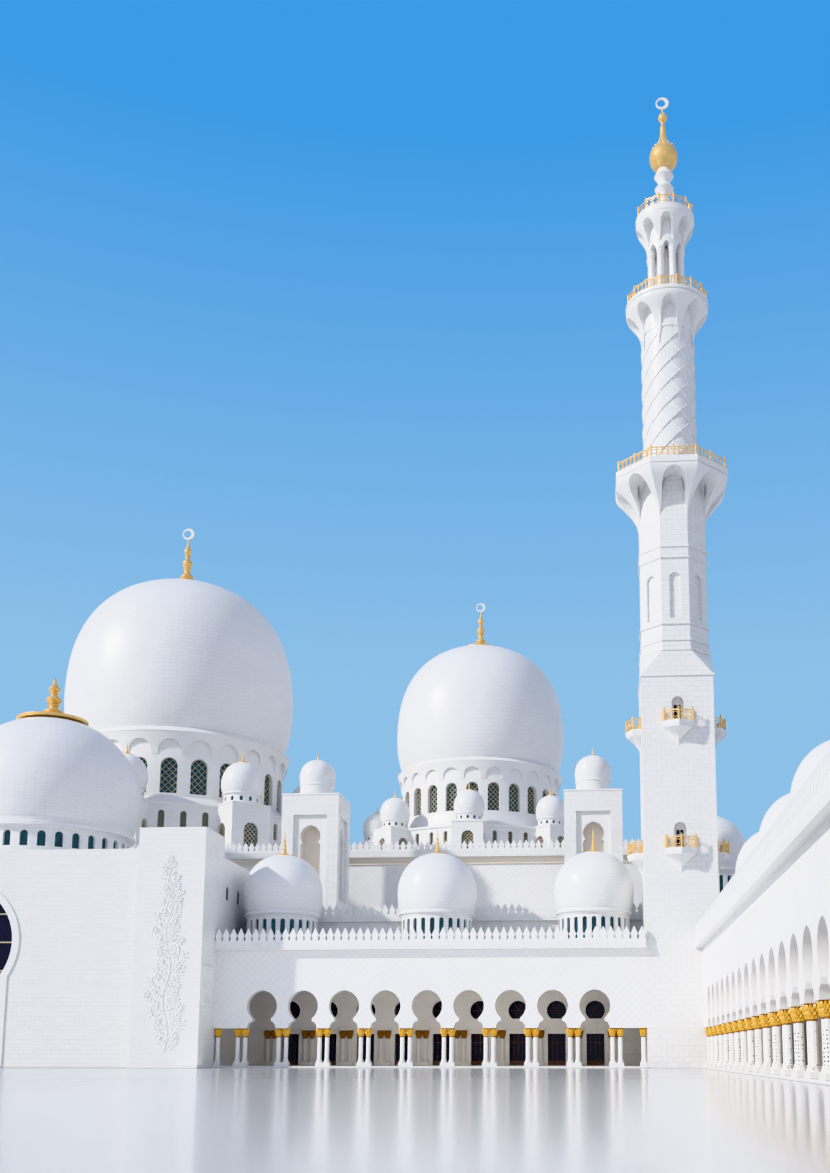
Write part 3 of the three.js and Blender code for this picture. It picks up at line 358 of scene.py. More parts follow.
def keyhole(half, foot, neck_half, neck, ring_z, radius, apex):
    """Keyhole opening: a flared foot, a neck and a round head with a slight point."""
    steps = 20
    start = asin(neck_half / radius)
    points = [(half, foot)]
    flare = half - neck_half
    for i in range(1, 5):
        angle = i * pi / 10
        points.append((half - flare * (1 - cos(angle)), foot + (neck - foot) * sin(angle)))
    points.append((neck_half, neck))
    for i in range(steps + 1):
        share = i / steps
        angle = start + (pi - start) * share
        lift = (apex - ring_z - radius) * max(0.0, (share - 0.55) / 0.45) ** 2
        points.append((radius * sin(angle), ring_z - radius * cos(angle) + lift))
    points[-1] = (0.0, apex)
    return mirrored(points)


def shifted(points, x=0.0, z=0.0):
    return [(u + x, v + z) for u, v in points]


def scaled(points, x, z):
    return [(u * x, v * z) for u, v in points]


def rectangle(left, right, foot, top):
    """Upright rectangle, or the profile of a plain ring."""
    return [(left, foot), (right, foot), (right, top), (left, top)]


class Work:
    """A piece being put together from shapes, with one material for each finish number."""

    def __init__(self, *finishes):
        self.bm = bmesh.new()
        self.finishes = finishes

    def add(self, shape, *places, finish=0, reveals=None):
        """Copies a shape to its places; reveals is the finish of faces that don't look along y."""
        for face in shape.faces:
            along = reveals is None or abs(face.normal.y) > 0.5
            face.material_index = finish if along else reveals
            face.smooth = True
        self.copy(shape, places or (HERE,))

    def include(self, part, *places, finishes):
        """Copies another work to its places; finishes gives this work's number for each of its own."""
        for face in part.bm.faces:
            face.material_index = finishes[face.material_index]
        self.copy(part.bm, places or (HERE,))

    def copy(self, shape, places):
        mesh = bpy.data.meshes.new("shape")
        shape.to_mesh(mesh)
        shape.free()
        for place in places:
            copy = mesh.copy()
            copy.transform(place)
            self.bm.from_mesh(copy)
            bpy.data.meshes.remove(copy)
        bpy.data.meshes.remove(mesh)

    def done(self, name, slot, *nodes, centre=None, sharp=32.0):
        """Makes the piece at model scale, rides it on the building and hides what it stands for."""
        wrap_coordinates(self.bm, centre)
        bmesh.ops.transform(self.bm, matrix=TO_MODEL, verts=self.bm.verts)
        mesh = bpy.data.meshes.new(name)
        self.bm.to_mesh(mesh)
        self.bm.free()
        for finish in self.finishes:
            mesh.materials.append(MATERIALS[finish])
        mesh.set_sharp_from_angle(angle=radians(sharp))
        piece = bpy.data.objects.new(name, mesh)
        bpy.context.collection.objects.link(piece)
        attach(piece, "root")
        if nodes:
            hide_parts(*nodes)
        return piece


def wrap_coordinates(bm, centre):
    """UV map of a round piece: u is the angle about its centre in turns, v the height in metres."""
    if centre is None:
        return
    layer = bm.loops.layers.uv.new("wrap")
    for face in bm.faces:
        turns = []
        for loop in face.loops:
            x = loop.vert.co.x - centre[0]
            y = loop.vert.co.y - centre[1]
            turns.append(atan2(y, x) / tau)
        if max(turns) - min(turns) > 0.5:
            turns = [turn + 1 if turn < 0 else turn for turn in turns]
        for loop, turn in zip(face.loops, turns):
            loop[layer].uv = (turn, loop.vert.co.z)


# Materials
class Nodes:
    """A node tree, with short calls for the nodes that are used here."""

    def __init__(self, tree):
        self.tree = tree

    def node(self, kind, **values):
        """Adds a node; values set its properties, or its inputs where no property has the name."""
        node = self.tree.nodes.new(kind)
        for key, value in values.items():
            if hasattr(node, key):
                setattr(node, key, value)
            else:
                self.put(node.inputs[key.replace("_", " ")], value)
        return node

    def put(self, socket, value):
        """Links a socket to another, or sets its value."""
        if isinstance(value, bpy.types.NodeSocket):
            self.tree.links.new(value, socket)
        else:
            socket.default_value = value

    def maths(self, operation, first, second=0.0):
        node = self.node("ShaderNodeMath", operation=operation)
        self.put(node.inputs[0], first)
        self.put(node.inputs[1], second)
        return node.outputs[0]

    def blend(self, share, first, second):
        """Mixes two colours."""
        node = self.node("ShaderNodeMix", data_type="RGBA", Factor=share)
        for socket, colour in ((node.inputs["A"], first), (node.inputs["B"], second)):
            self.put(socket, colour if isinstance(colour, bpy.types.NodeSocket) else (*colour, 1))
        return node.outputs["Result"]

    def ramp(self, value, low, high):
        """Stretches a value so that low becomes 0 and high becomes 1."""
        node = self.node("ShaderNodeMapRange", Value=value, From_Min=low, From_Max=high)
        return node.outputs["Result"]


class Finish(Nodes):
    """A material and its node tree."""

    def __init__(self, name, colour, roughness, metallic=0.0):
        self.material = bpy.data.materials.new(name)
        self.material.use_nodes = True
        self.material.diffuse_color = (*colour, 1)
        super().__init__(self.material.node_tree)
        self.shader = self.tree.nodes["Principled BSDF"]
        self.base((*colour, 1))
        self.shader.inputs["Roughness"].default_value = roughness
        self.shader.inputs["Metallic"].default_value = metallic

    def base(self, colour):
        self.put(self.shader.inputs["Base Color"], colour)

    def place(self):
        """Object coordinates, as full-size metres."""
        where = self.node("ShaderNodeTexCoord").outputs["Object"]
        mapping = self.node("ShaderNodeMapping", Vector=where, Scale=(1 / MODEL_SCALE,) * 3)
        return mapping.outputs["Vector"]

    def bump(self, height, depth):
        """Relief of a given depth in full-size metres."""
        node = self.node("ShaderNodeBump", Strength=1.0, Distance=depth * MODEL_SCALE, Height=height)
        self.put(self.shader.inputs["Normal"], node.outputs["Normal"])


def darker(colour, share):
    return tuple(part * share for part in colour)


def veins(finish, where, colour, depth):
    """Cloudy grey veins of white marble."""
    noise = finish.node(
        "ShaderNodeTexNoise", Vector=where, Scale=0.16, Detail=6.0, Roughness=0.62, Distortion=1.4,
    )
    cloud = finish.ramp(noise.outputs["Fac"], 0.42, 0.66)
    return finish.blend(finish.maths("MULTIPLY", cloud, depth), colour, (0.66, 0.67, 0.69))


def wall_plane(finish, where):
    """Across and up coordinates of whichever way an upright wall faces."""
    split = finish.node("ShaderNodeSeparateXYZ", Vector=where)
    geometry = finish.node("ShaderNodeNewGeometry")
    facing = finish.node("ShaderNodeSeparateXYZ", Vector=geometry.outputs["True Normal"])
    side = [finish.maths("ABSOLUTE", facing.outputs[i]) for i in range(3)]
    to_side = finish.maths("GREATER_THAN", side[0], side[1])
    level = finish.maths("GREATER_THAN", side[2], 0.75)
    x, y, z = split.outputs
    across = finish.node("ShaderNodeMix", data_type="FLOAT", Factor=to_side, A=x, B=y).outputs["Result"]
    up = finish.node("ShaderNodeMix", data_type="FLOAT", Factor=level, A=z, B=x).outputs["Result"]
    plane = finish.node("ShaderNodeCombineXYZ", X=across, Y=up)
    return plane.outputs["Vector"], across, up


def stone_courses(finish, where, plane, size, joint, tones, cloud, relief):
    """Staggered stones: width and height, size and softness of joints, tones of stones and joints."""
    colour, second, mortar = tones
    stones = finish.node(
        "ShaderNodeTexBrick", offset=0.5, Scale=1.0, Vector=plane, Brick_Width=size[0],
        Row_Height=size[1], Mortar_Size=joint[0], Mortar_Smooth=joint[1], Color1=(*colour, 1),
        Color2=(*darker(colour, second), 1), Mortar=(*darker(colour, mortar), 1),
    )
    finish.base(veins(finish, where, stones.outputs["Color"], cloud))
    finish.bump(finish.maths("SUBTRACT", 1.0, stones.outputs["Fac"]), relief)
    return finish.material


def block_marble(name, colour, width, height, joint=0.02, contrast=0.82):
    """White marble facing in staggered blocks."""
    finish = Finish(name, colour, 0.38)
    where = finish.place()
    plane = wall_plane(finish, where)[0]
    tones = (colour, 0.955, contrast)
    return stone_courses(finish, where, plane, (width, height), (joint, 0.3), tones, 0.12, 0.01)


def lattice_marble(name, colour, pitch):
    """White marble carved with a flat lattice of diamonds."""
    finish = Finish(name, colour, 0.42)
    where = finish.place()
    _, across, up = wall_plane(finish, where)
    lines = []
    for sign in ("ADD", "SUBTRACT"):
        wave = finish.maths("PINGPONG", finish.maths(sign, across, up), pitch)
        lines.append(finish.ramp(wave, 0.0, 0.07))
    groove = finish.maths("MINIMUM", lines[0], lines[1])
    tint = finish.blend(groove, darker(colour, 0.93), colour)
    finish.base(veins(finish, where, tint, 0.12))
    finish.bump(groove, 0.018)
    return finish.material


def dome_marble(name, colour, course, girth, tiles):
    """Dome cladding: narrow level courses of small tiles, each a little different in tone."""
    finish = Finish(name, colour, 0.34)
    where = finish.place()
    wrap = finish.node("ShaderNodeUVMap", uv_map="wrap")
    scale = finish.node("ShaderNodeMapping", Vector=wrap.outputs["UV"], Scale=(girth, 1, 1))
    size = (girth / tiles, course)
    tones = (colour, 0.975, 0.92)
    plane = scale.outputs["Vector"]
    return stone_courses(finish, where, plane, size, (course * 0.08, 0.5), tones, 0.08, 0.008)


def plain_marble(name, colour):
    """Carved white marble without joints."""
    finish = Finish(name, colour, 0.36)
    where = finish.place()
    finish.base(veins(finish, where, colour, 0.14))
    grain = finish.node("ShaderNodeTexNoise", Vector=where, Scale=9.0, Detail=4.0)
    finish.bump(grain.outputs["Fac"], 0.004)
    return finish.material


INLAY_TOP = 2.6


def inlaid_marble(name, colour, stone):
    """White marble column shafts, their lower part set with small dark stones."""
    finish = Finish(name, colour, 0.22)
    where = finish.place()
    cells = finish.node("ShaderNodeTexVoronoi", Vector=where, Scale=5.0, Randomness=0.2)
    dots = finish.maths("LESS_THAN", cells.outputs["Distance"], 0.24)
    split = finish.node("ShaderNodeSeparateXYZ", Vector=where)
    low = finish.maths("LESS_THAN", split.outputs["Z"], INLAY_TOP)
    tint = finish.blend(finish.maths("MULTIPLY", dots, low), colour, stone)
    finish.base(veins(finish, where, tint, 0.12))
    return finish.material


def gilding(name, colour, roughness=0.3):
    """Gold leaf with slight wear and ripples."""
    finish = Finish(name, colour, roughness, metallic=0.5)
    where = finish.place()
    noise = finish.node("ShaderNodeTexNoise", Vector=where, Scale=2.5, Detail=5.0)
    tone = finish.ramp(noise.outputs["Fac"], 0.35, 0.65)
    finish.base(finish.blend(tone, darker(colour, 0.85), colour))
    ripples = finish.node("ShaderNodeTexNoise", Vector=where, Scale=14.0, Detail=3.0)
    finish.bump(ripples.outputs["Fac"], 0.012)
    return finish.material


def window_glass(name, colour):
    """Dark glossy glazing, a little different from pane to pane."""
    finish = Finish(name, colour, 0.12)
    panes = finish.node("ShaderNodeTexVoronoi", Vector=finish.place(), Scale=2.2)
    finish.base(finish.blend(panes.outputs["Color"], darker(colour, 0.5), colour))
    return finish.material


def colour_property(name, description, colour):
    return FloatVectorProperty(
        name=name, description=description, default=colour, subtype="COLOR", size=3, min=0, max=1,
    )


class MosqueColours(bpy.types.PropertyGroup):
    """Colours that can be changed before the pieces are made."""

    marble: colour_property("Marble", "White marble of the walls", (0.86, 0.85, 0.835))
    dome: colour_property("Dome marble", "White marble of the domes", (0.87, 0.865, 0.86))
    paving: colour_property("Floor marble", "Marble of the gallery floors", (0.74, 0.73, 0.70))
    gilt: colour_property("Gilding", "Gold of capitals, rails and finials", (0.97, 0.65, 0.26))
    leaves: colour_property("Capitals", "Gold of the leaves of the capitals", (1.0, 0.60, 0.11))
    # Gold darkened as painted shade: the capitals' vases between their leaves, and the capitals inside the
    # gallery
    shade_gilt: colour_property("Back capitals", "Darker gold inside the gallery", (0.4, 0.18, 0.045))
    glass: colour_property("Door glass", "Glazing of doors and round lights", (0.012, 0.012, 0.035))
    doors: colour_property("Door frames", "Bars and kick boards of the gallery doors", (0.13, 0.075, 0.06))
    drum_glass: colour_property("Drum glass", "Glazing of the dome windows", (0.035, 0.12, 0.15))
    lattice: colour_property("Window lattice", "Bars in front of the dome windows", (0.50, 0.42, 0.27))
    # Beige stone of the upper hall's eaves band, its tone partly painted yellowish bounce light in the
    # eaves' shade; at the back of the towers' niches it is painted shade
    warm: colour_property("Warm marble", "Marble of niches and of the eaves' band", (0.80, 0.71, 0.60))
    stones: colour_property("Inlaid stones", "Small dark stones in the columns", (0.09, 0.08, 0.07))
    floor: colour_property("Stage floor", "Plain floor of the picture", (0.66, 0.665, 0.675))
    sky_low: colour_property("Backdrop foot", "Plain backdrop near the floor", (0.31, 0.58, 0.865))
    sky_top: colour_property("Backdrop head", "Plain backdrop high up", (0.084, 0.368, 0.823))


def length_property(name, description, length):
    return FloatProperty(name=name, description=description, default=length, min=0, unit="LENGTH")


class MosqueSizes(bpy.types.PropertyGroup):
    """Sizes of the fine parts, in metres of the full-size building."""

    merlon_pitch: length_property("Arcade merlons", "Spacing of the arcade merlons", 0.74)
    hall_merlon_pitch: length_property("Hall merlons", "Spacing of the hall merlons", 0.77)
    shaft_radius: length_property("Column shaft", "Radius of an arcade column", 0.2)
    drum_windows: IntProperty(name="Drum windows", description="Windows round a great drum", default=24)
    turn_steps: IntProperty(name="Round steps", description="Steps of a large round piece", default=96)
    sun_strength: FloatProperty(name="Sunlight", description="Strength of the key light", default=3.0)


MATERIALS = {}


class MOSQUE_OT_finishes(bpy.types.Operator):
    """Make the marbles, gilding and glass, and finish the plain CAD walls, floors and roofs"""

    bl_idname = "mosque.finishes"
    bl_label = "Finishes"

    def execute(self, context):
        c = context.scene.mosque_colours
        marble = tuple(c.marble)
        MATERIALS.update(
            marble=block_marble("marble_blocks", marble, 0.9, 0.45, joint=0.014, contrast=0.9),
            minaret=block_marble("minaret_blocks", marble, 1.05, 0.54, joint=0.026, contrast=0.86),
            tower=block_marble("tower_marble", marble, 1.3, 0.65, joint=0.012, contrast=0.92),
            panels=block_marble("marble_panels", marble, 2.05, 1.3, joint=0.014, contrast=0.86),
            lattice=lattice_marble("lattice_marble", marble, 0.375),
            carved=plain_marble("carved_marble", marble),
            inlaid=inlaid_marble("inlaid_marble", marble, tuple(c.stones)),
            # Beige marble that is partly the stone's own colour and partly painted shade, in the niches
            # and under the eaves
            warm=plain_marble("warm_marble", tuple(c.warm)),
            dome=dome_marble("dome_marble", tuple(c.dome), 0.55, 85.0, 64),
            small_dome=dome_marble("small_dome_marble", tuple(c.dome), 0.34, 25.0, 30),
            paving=block_marble("floor_marble", tuple(c.paving), 1.2, 1.2),
            gilt=gilding("gilding", tuple(c.gilt)),
            leaves=gilding("capital_gilding", tuple(c.leaves), 0.34),
            # Painted shade: a dark copy of the gilding for capitals that stand in shade
            shade_gilt=gilding("painted_shade_gilding", tuple(c.shade_gilt), 0.45),
            glass=window_glass("door_glass", tuple(c.glass)),
            drum_glass=window_glass("drum_glass", tuple(c.drum_glass)),
            bars=plain_marble("window_bars", tuple(c.lattice)),
            doors=plain_marble("door_frames", tuple(c.doors)),
        )
        self.finish_nodes()
        return {"FINISHED"}

    def finish_nodes(self):
        """Every CAD node gets a finish; the pieces that stand for some of them come later."""
        special = {
            "ground_floor": "paving",
            "gallery_glass": "glass",
            "portal_glass": "glass",
            "gallery_back_wall": "panels",
            "side_back_wall": "panels",
            "upper_hall_front_wall": "lattice",
            "upper_hall_walls": "lattice",
        }
        for name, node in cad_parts.items():
            key = special.get(name, "marble")
            if name.endswith(("finial", "rail")):
                key = "gilt"
            node.data.materials.clear()
            node.data.materials.append(MATERIALS[key])


class MOSQUE_OT_stage(bpy.types.Operator):
    """Add the plain floor, the soft light and the camera"""

    bl_idname = "mosque.stage"
    bl_label = "Stage"

    # Camera, in model metres and pixels of an 830 by 1173 image
    CAMERA = Vector((3.2775, -12.245, 0.137))
    CAMERA_YAW = radians(4)
    CAMERA_PITCH = radians(9)
    SENSOR = 36.0
    LENS = 37.32
    SHIFT = (-0.083, 0.234)
    CLIP = (0.05, 1000.0)
    SUN_DIRECTION = Vector((0.746, 0.42, -0.515))
    SUN_SOFTNESS = radians(2.0)
    SUN_COLOUR = (1.0, 0.96, 0.91)
    # Light from all round and the backdrop seen behind the model: lowest and highest height, from
    # 0 level to 1 straight up, of their change from one colour to the other
    FILL_HEIGHTS = (0.0, 0.6)
    FILL_LOW = (0.83, 0.85, 0.91)
    FILL_HIGH = (0.40, 0.49, 0.67)
    SKY_HEIGHTS = (0.30, 0.64)
    # Soft lamps inside the arches and over the court floor: name, place and size in model metres,
    # turn, strength and colour
    WARM_LIGHT = (1.0, 0.87, 0.72)
    LAMPS = (
        ("front_gallery_lamp", (2.05, -0.245, 0.45), (2.9, 0.5), (pi / 2, 0, 0), 4.0, WARM_LIGHT),
        ("side_gallery_lamp", (4.41, -4.08, 0.45), (7.0, 0.5), (pi / 2, 0, -pi / 2), 10.0, WARM_LIGHT),
        ("court_lamp", (1.6, -3.2, 0.03), (4.6, 5.0), (pi, 0, 0), 46.0, (0.93, 0.95, 1.0)),
    )
    FLOOR_SIZE = 400.0
    FLOOR_Z = -0.001

    def execute(self, context):
        c = context.scene.mosque_colours
        self.add_camera(context)
        self.add_floor(context, tuple(c.floor))
        self.add_light(context)
        context.scene.view_settings.view_transform = "Khronos PBR Neutral"
        return {"FINISHED"}

    def add_camera(self, context):
        data = bpy.data.cameras.new("camera")
        data.sensor_width = self.SENSOR
        data.lens = self.LENS
        data.shift_x, data.shift_y = self.SHIFT
        data.clip_start, data.clip_end = self.CLIP
        camera = bpy.data.objects.new("camera", data)
        camera.location = self.CAMERA
        camera.rotation_euler = (pi / 2 + self.CAMERA_PITCH, 0, self.CAMERA_YAW)
        context.collection.objects.link(camera)
        context.scene.camera = camera

    def add_floor(self, context, colour):
        bm = bmesh.new()
        bmesh.ops.create_grid(bm, x_segments=1, y_segments=1, size=self.FLOOR_SIZE / 2)
        mesh = bpy.data.meshes.new("stage_floor")
        bm.to_mesh(mesh)
        bm.free()
        mesh.transform(Matrix.Translation((0, 0, self.FLOOR_Z)))
        finish = Finish("stage_floor", colour, 0.14)
        mesh.materials.append(finish.material)
        floor = bpy.data.objects.new("stage_floor", mesh)
        context.collection.objects.link(floor)

    def add_light(self, context):
        sun = bpy.data.lights.new("sun", "SUN")
        sun.energy = context.scene.mosque_sizes.sun_strength
        sun.angle = self.SUN_SOFTNESS
        sun.color = self.SUN_COLOUR
        lamp = bpy.data.objects.new("sun", sun)
        lamp.rotation_euler = self.SUN_DIRECTION.to_track_quat("-Z", "Y").to_euler()
        context.collection.objects.link(lamp)
        for settings in self.LAMPS:
            self.add_lamp(context, *settings)
        self.add_backdrop(context)

    def add_lamp(self, context, name, spot, size, turn, power, colour):
        """Soft light like that which a sunlit floor throws on the walls round it."""
        data = bpy.data.lights.new(name, "AREA")
        data.shape = "RECTANGLE"
        data.size, data.size_y = size
        data.energy = power
        data.color = colour
        lamp = bpy.data.objects.new(name, data)
        lamp.location = spot
        lamp.rotation_euler = turn
        lamp.visible_camera = False
        lamp.visible_glossy = False
        context.collection.objects.link(lamp)

    def add_backdrop(self, context):
        """Soft light from all round, in front of a plain blue backdrop; both deepen upwards."""
        c = context.scene.mosque_colours
        world = bpy.data.worlds.new("backdrop")
        world.use_nodes = True
        sky = Nodes(world.node_tree)
        where = sky.node("ShaderNodeTexCoord").outputs["Generated"]
        height = sky.node("ShaderNodeSeparateXYZ", Vector=where).outputs["Z"]
        fill = sky.tree.nodes["Background"]
        seen = sky.node("ShaderNodeBackground")
        for shader, heights, low, high in (
            (fill, self.FILL_HEIGHTS, self.FILL_LOW, self.FILL_HIGH),
            (seen, self.SKY_HEIGHTS, c.sky_low, c.sky_top),
        ):
            sky.put(shader.inputs["Color"], sky.blend(sky.ramp(height, *heights), low, high))
        ray = sky.node("ShaderNodeLightPath").outputs["Is Camera Ray"]
        either = sky.node("ShaderNodeMixShader", Fac=ray)
        sky.put(either.inputs[1], fill.outputs["Background"])
        sky.put(either.inputs[2], seen.outputs["Background"])
        sky.put(sky.tree.nodes["World Output"].inputs["Surface"], either.outputs["Shader"])
        context.scene.world = world


# Arcades
ARCH = dict(half=1.43, foot=CAPITAL_TOP, neck_half=0.93, neck=4.5, ring_z=5.98, radius=1.5, apex=7.54)


class MOSQUE_OT_arcade_walls(bpy.types.Operator):
    """Add the walls over the columns, with their keyhole arches"""

    bl_idname = "mosque.arcade_walls"
    bl_label = "Arcade Walls"

    def execute(self, context):
        for wing in WINGS:
            outline = [(wing.start, CAPITAL_TOP)]
            for x in wing.arches:
                outline += shifted(keyhole(**ARCH), x)
            top = ARCADE_SOFFIT - GAP
            outline += [(wing.end, CAPITAL_TOP), (wing.end, top), (wing.start, top)]
            work = Work("lattice", "carved")
            work.add(plate(outline), wing.place, reveals=1)
            work.done(f"{wing.name}_arches", "white_marble", f"{wing.name}_arcade_wall")
        return {"FINISHED"}


# Columns
PAIR_HALF = (0.73, 0.36)
COLUMN_HALF_SPACING = 0.375
CAPITAL_FOOT = 2.95
BLOCK_HEIGHT = 0.35


def shaft(radius, foot, top):
    """Eight-sided shaft on a moulded foot."""
    return prism([
        (0, foot), (radius + 0.09, foot), (radius + 0.09, foot + 0.1), (radius + 0.03, foot + 0.18),
        (radius + 0.06, foot + 0.24), (radius, foot + 0.34), (radius, top), (0, top),
    ], 8)


def leaf(length, width, relief):
    """Pointed leaf with a raised middle, its stem at the origin, its tip upwards, facing -y."""
    bm = bmesh.new()
    half = [(0.42, 0.2), (0.5, 0.48), (0.26, 0.8)]
    outline = [(0, 0), *half, (0, 1), *[(-x, z) for x, z in reversed(half)]]
    rim = [bm.verts.new((x * width, 0.01, z * length)) for x, z in outline]
    ridge = bm.verts.new((0, -relief, length * 0.6))
    for a, b in zip(rim, rim[1:] + rim[:1]):
        bm.faces.new((a, b, ridge))
    return finished(bm)


# Rows of a capital's leaves: height of their stems, reach past the shaft, length and lean
LEAF_ROWS = (
    (0.07, 0.0, 0.26, 0.2), (0.22, 0.04, 0.28, 0.25), (0.4, 0.09, 0.28, 0.2), (0.56, 0.12, 0.29, 0.05),
)


def capital(radius):
    """Gilded palm capital: a round vase in dark gold, painted shade in the gaps, inside four rows of
    bright leaves.
    """
    work = Work()
    work.add(turned([
        (0, 0), (radius, 0), (radius + 0.04, 0.05), (radius, 0.1), (radius + 0.06, 0.26),
        (radius + 0.11, 0.5), (radius + 0.11, 0.65), (radius + 0.07, 0.78), (radius + 0.1, 0.867),
        (0, 0.867),
    ], 16))
    leaves = 9
    for row, (height, reach, length, lean) in enumerate(LEAF_ROWS):
        turns = around(leaves, turn=row * pi / leaves)
        tip = Matrix.Rotation(lean, 4, "X")
        spots = [turn @ at(0, -radius - reach, height) @ tip for turn in turns]
        work.add(leaf(length, 0.18, 0.08), *spots, finish=1)
    return work


class MOSQUE_OT_columns(bpy.types.Operator):
    """Add the paired columns with their gilded capitals"""

    bl_idname = "mosque.columns"
    bl_label = "Columns"

    STEP_FRONT = 0.15
    STEP_DEPTH = 1.65

    def execute(self, context):
        radius = context.scene.mosque_sizes.shaft_radius
        foot = FLOOR_TOP + BLOCK_HEIGHT
        for wing in WINGS:
            spots = [x + d for x in wing.piers() for d in (-COLUMN_HALF_SPACING, COLUMN_HALF_SPACING)]
            half_x, half_y = PAIR_HALF
            singles = [wing.start + half_y]
            if wing.name == "front":
                singles.append(wing.end - half_y)
            middle = WALL / 2
            shaft_finish = "inlaid" if wing.name == "side" else "carved"
            work = Work("carved", "shade_gilt", shaft_finish, "leaves")
            work.add(block(
                wing.start + GAP, wing.end - GAP, -self.STEP_FRONT,
                self.STEP_DEPTH - self.STEP_FRONT, 0, FLOOR_TOP, 0.02,
            ), wing.place)
            pairs = [wing.place @ at(x, middle) for x in wing.piers()]
            work.add(block(-half_x, half_x, -half_y, half_y, FLOOR_TOP, foot, 0.03), *pairs)
            ends = [wing.place @ at(x, middle) for x in singles]
            work.add(block(-half_y, half_y, -half_y, half_y, FLOOR_TOP, foot, 0.03), *ends)
            places = [wing.place @ at(x, middle) for x in spots + singles]
            work.add(shaft(radius, foot, CAPITAL_FOOT), *places, finish=2)
            tops = [place @ at(0, 0, CAPITAL_FOOT) for place in places]
            # The vases take the gold darkened as painted shade, and the leaves take the bright gold.
            work.include(capital(radius), *tops, finishes=(1, 3))
            work.done(f"{wing.name}_pillars", "white_marble", f"{wing.name}_columns")
        return {"FINISHED"}


# Parapets
def merlon(pitch, height, sill):
    """Half outline of a leaf-shaped merlon above its sill, from its foot to its point."""
    shares = (
        (0.47, 0.0), (0.40, 0.07), (0.35, 0.18), (0.37, 0.29), (0.485, 0.42), (0.41, 0.5), (0.28, 0.66),
        (0.17, 0.8), (0.08, 0.92), (0.0, 1.0),
    )
    return [(pitch * x, sill + height * z) for x, z in shares]


def merlon_row(start, end, pitch, foot, top, sill, depth):
    """Parapet of leaf-shaped merlons on a plain band, along x."""
    count = max(1, round((end - start) / pitch))
    step = (end - start) / count
    height = top - foot - sill
    outline = [(start, foot), (start, foot + sill)]
    crown = mirrored(merlon(step, height, sill))
    for i in range(count):
        outline += shifted(crown, start + step * (i + 0.5), foot)
    outline += [(end, foot + sill), (end, foot)]
    return plate(outline, depth=depth)


class MOSQUE_OT_parapets(bpy.types.Operator):
    """Add the rows of leaf-shaped merlons on the arcades and halls"""

    bl_idname = "mosque.parapets"
    bl_label = "Parapets"

    ARCADE_SILL = 0.25
    HALL_SILL = 0.16
    HALL_HEIGHT = 1.25
    DEPTH = 0.3
    # Band under the eaves of the upper hall, as (y, z) from the face and foot of its parapet; its beige is
    # partly the stone's own and partly painted yellowish bounce light in the eaves' shade
    BAND = [
        (0.65, -1.65), (0.5, -1.65), (0.5, -1.5), (0.3, -1.2), (0.2, -1.1), (0.2, -0.803), (0.65, -0.803),
    ]

    def execute(self, context):
        sizes = context.scene.mosque_sizes
        self.pitch = sizes.merlon_pitch
        edge = -ROOF_OVERHANG + PARAPET_SETBACK
        front = Work("carved")
        front.add(self.arcade_row(PORTAL_EAST, MINARET_WEST), at(0, edge))
        front.done("front_merlons", "white_marble", "front_parapet")
        self.add_side(edge)
        self.add_hall("lower", full_size_box("lower_hall_parapet"), sizes.hall_merlon_pitch)
        self.add_hall("upper", full_size_box("upper_hall_parapet"), sizes.hall_merlon_pitch)
        return {"FINISHED"}

    def arcade_row(self, start, end):
        foot = ARCADE_ROOF + GAP
        return merlon_row(start, end, self.pitch, foot, ARCADE_MERLON_TOP, self.ARCADE_SILL, self.DEPTH)

    def add_side(self, edge):
        low, high = full_size_box("side_parapet")
        work = Work("carved")
        work.add(self.arcade_row(0.0, -low.y), SIDE_WING @ at(0, edge))
        work.add(self.arcade_row(low.x + self.DEPTH, high.x), at(0, low.y))
        work.add(self.arcade_row(low.y + self.DEPTH, high.y), at(high.x, 0, 0, pi / 2))
        work.done("side_merlons", "white_marble", "side_parapet")

    def add_hall(self, name, box, pitch):
        low, high = box
        foot = low.z
        top = foot + self.HALL_HEIGHT
        work = Work("carved", "warm")
        sides = [(low.x, high.x, at(0, low.y), 0.2)]
        if name == "lower":
            sides.append((low.y + self.DEPTH, high.y, at(high.x, 0, 0, pi / 2), 0.35))
        else:
            inner = (low.y + self.DEPTH, high.y - self.DEPTH)
            sides.append((-high.x, -low.x, at(0, high.y, 0, pi), 0.2))
            sides.append((*inner, at(high.x, 0, 0, pi / 2), 0.35))
            sides.append((-inner[1], -inner[0], at(low.x, 0, 0, -pi / 2), 0.35))
        for start, end, place, inset in sides:
            row = merlon_row(start, end, pitch, foot, top, self.HALL_SILL, self.DEPTH)
            work.add(row, place)
            if name == "upper":
                # The band's beige finish is partly painted bounce light of the eaves' shade.
                band = moulding(shifted(self.BAND, 0, foot), start + inset, end - inset)
                work.add(band, place, finish=1)
        work.done(f"{name}_hall_merlons", "white_marble", f"{name}_hall_parapet")


# Round towers of windows, and domes
PANE_LAP = 0.02
PANE_DEPTH = 0.05


def lattice(half, foot, top, spacing, width):
    """Diagonal bars that fill an arched opening, clipped to its outline."""
    bm = bmesh.new()
    spring = top - half
    mesh = bpy.data.meshes.new("bar")
    reach = top - foot + 2 * half
    count = int(reach / spacing)
    for sign in (-1, 1):
        for i in range(-count, count + 1):
            shift = i * spacing
            ends = clipped_diagonal(half, foot, spring, shift, sign)
            if ends is None:
                continue
            (x0, z0), (x1, z1) = ends
            stick = bar((x0, 0, z0), (x1, 0, z1), width)
            stick.to_mesh(mesh)
            stick.free()
            bm.from_mesh(mesh)
    bpy.data.meshes.remove(mesh)
    return bm


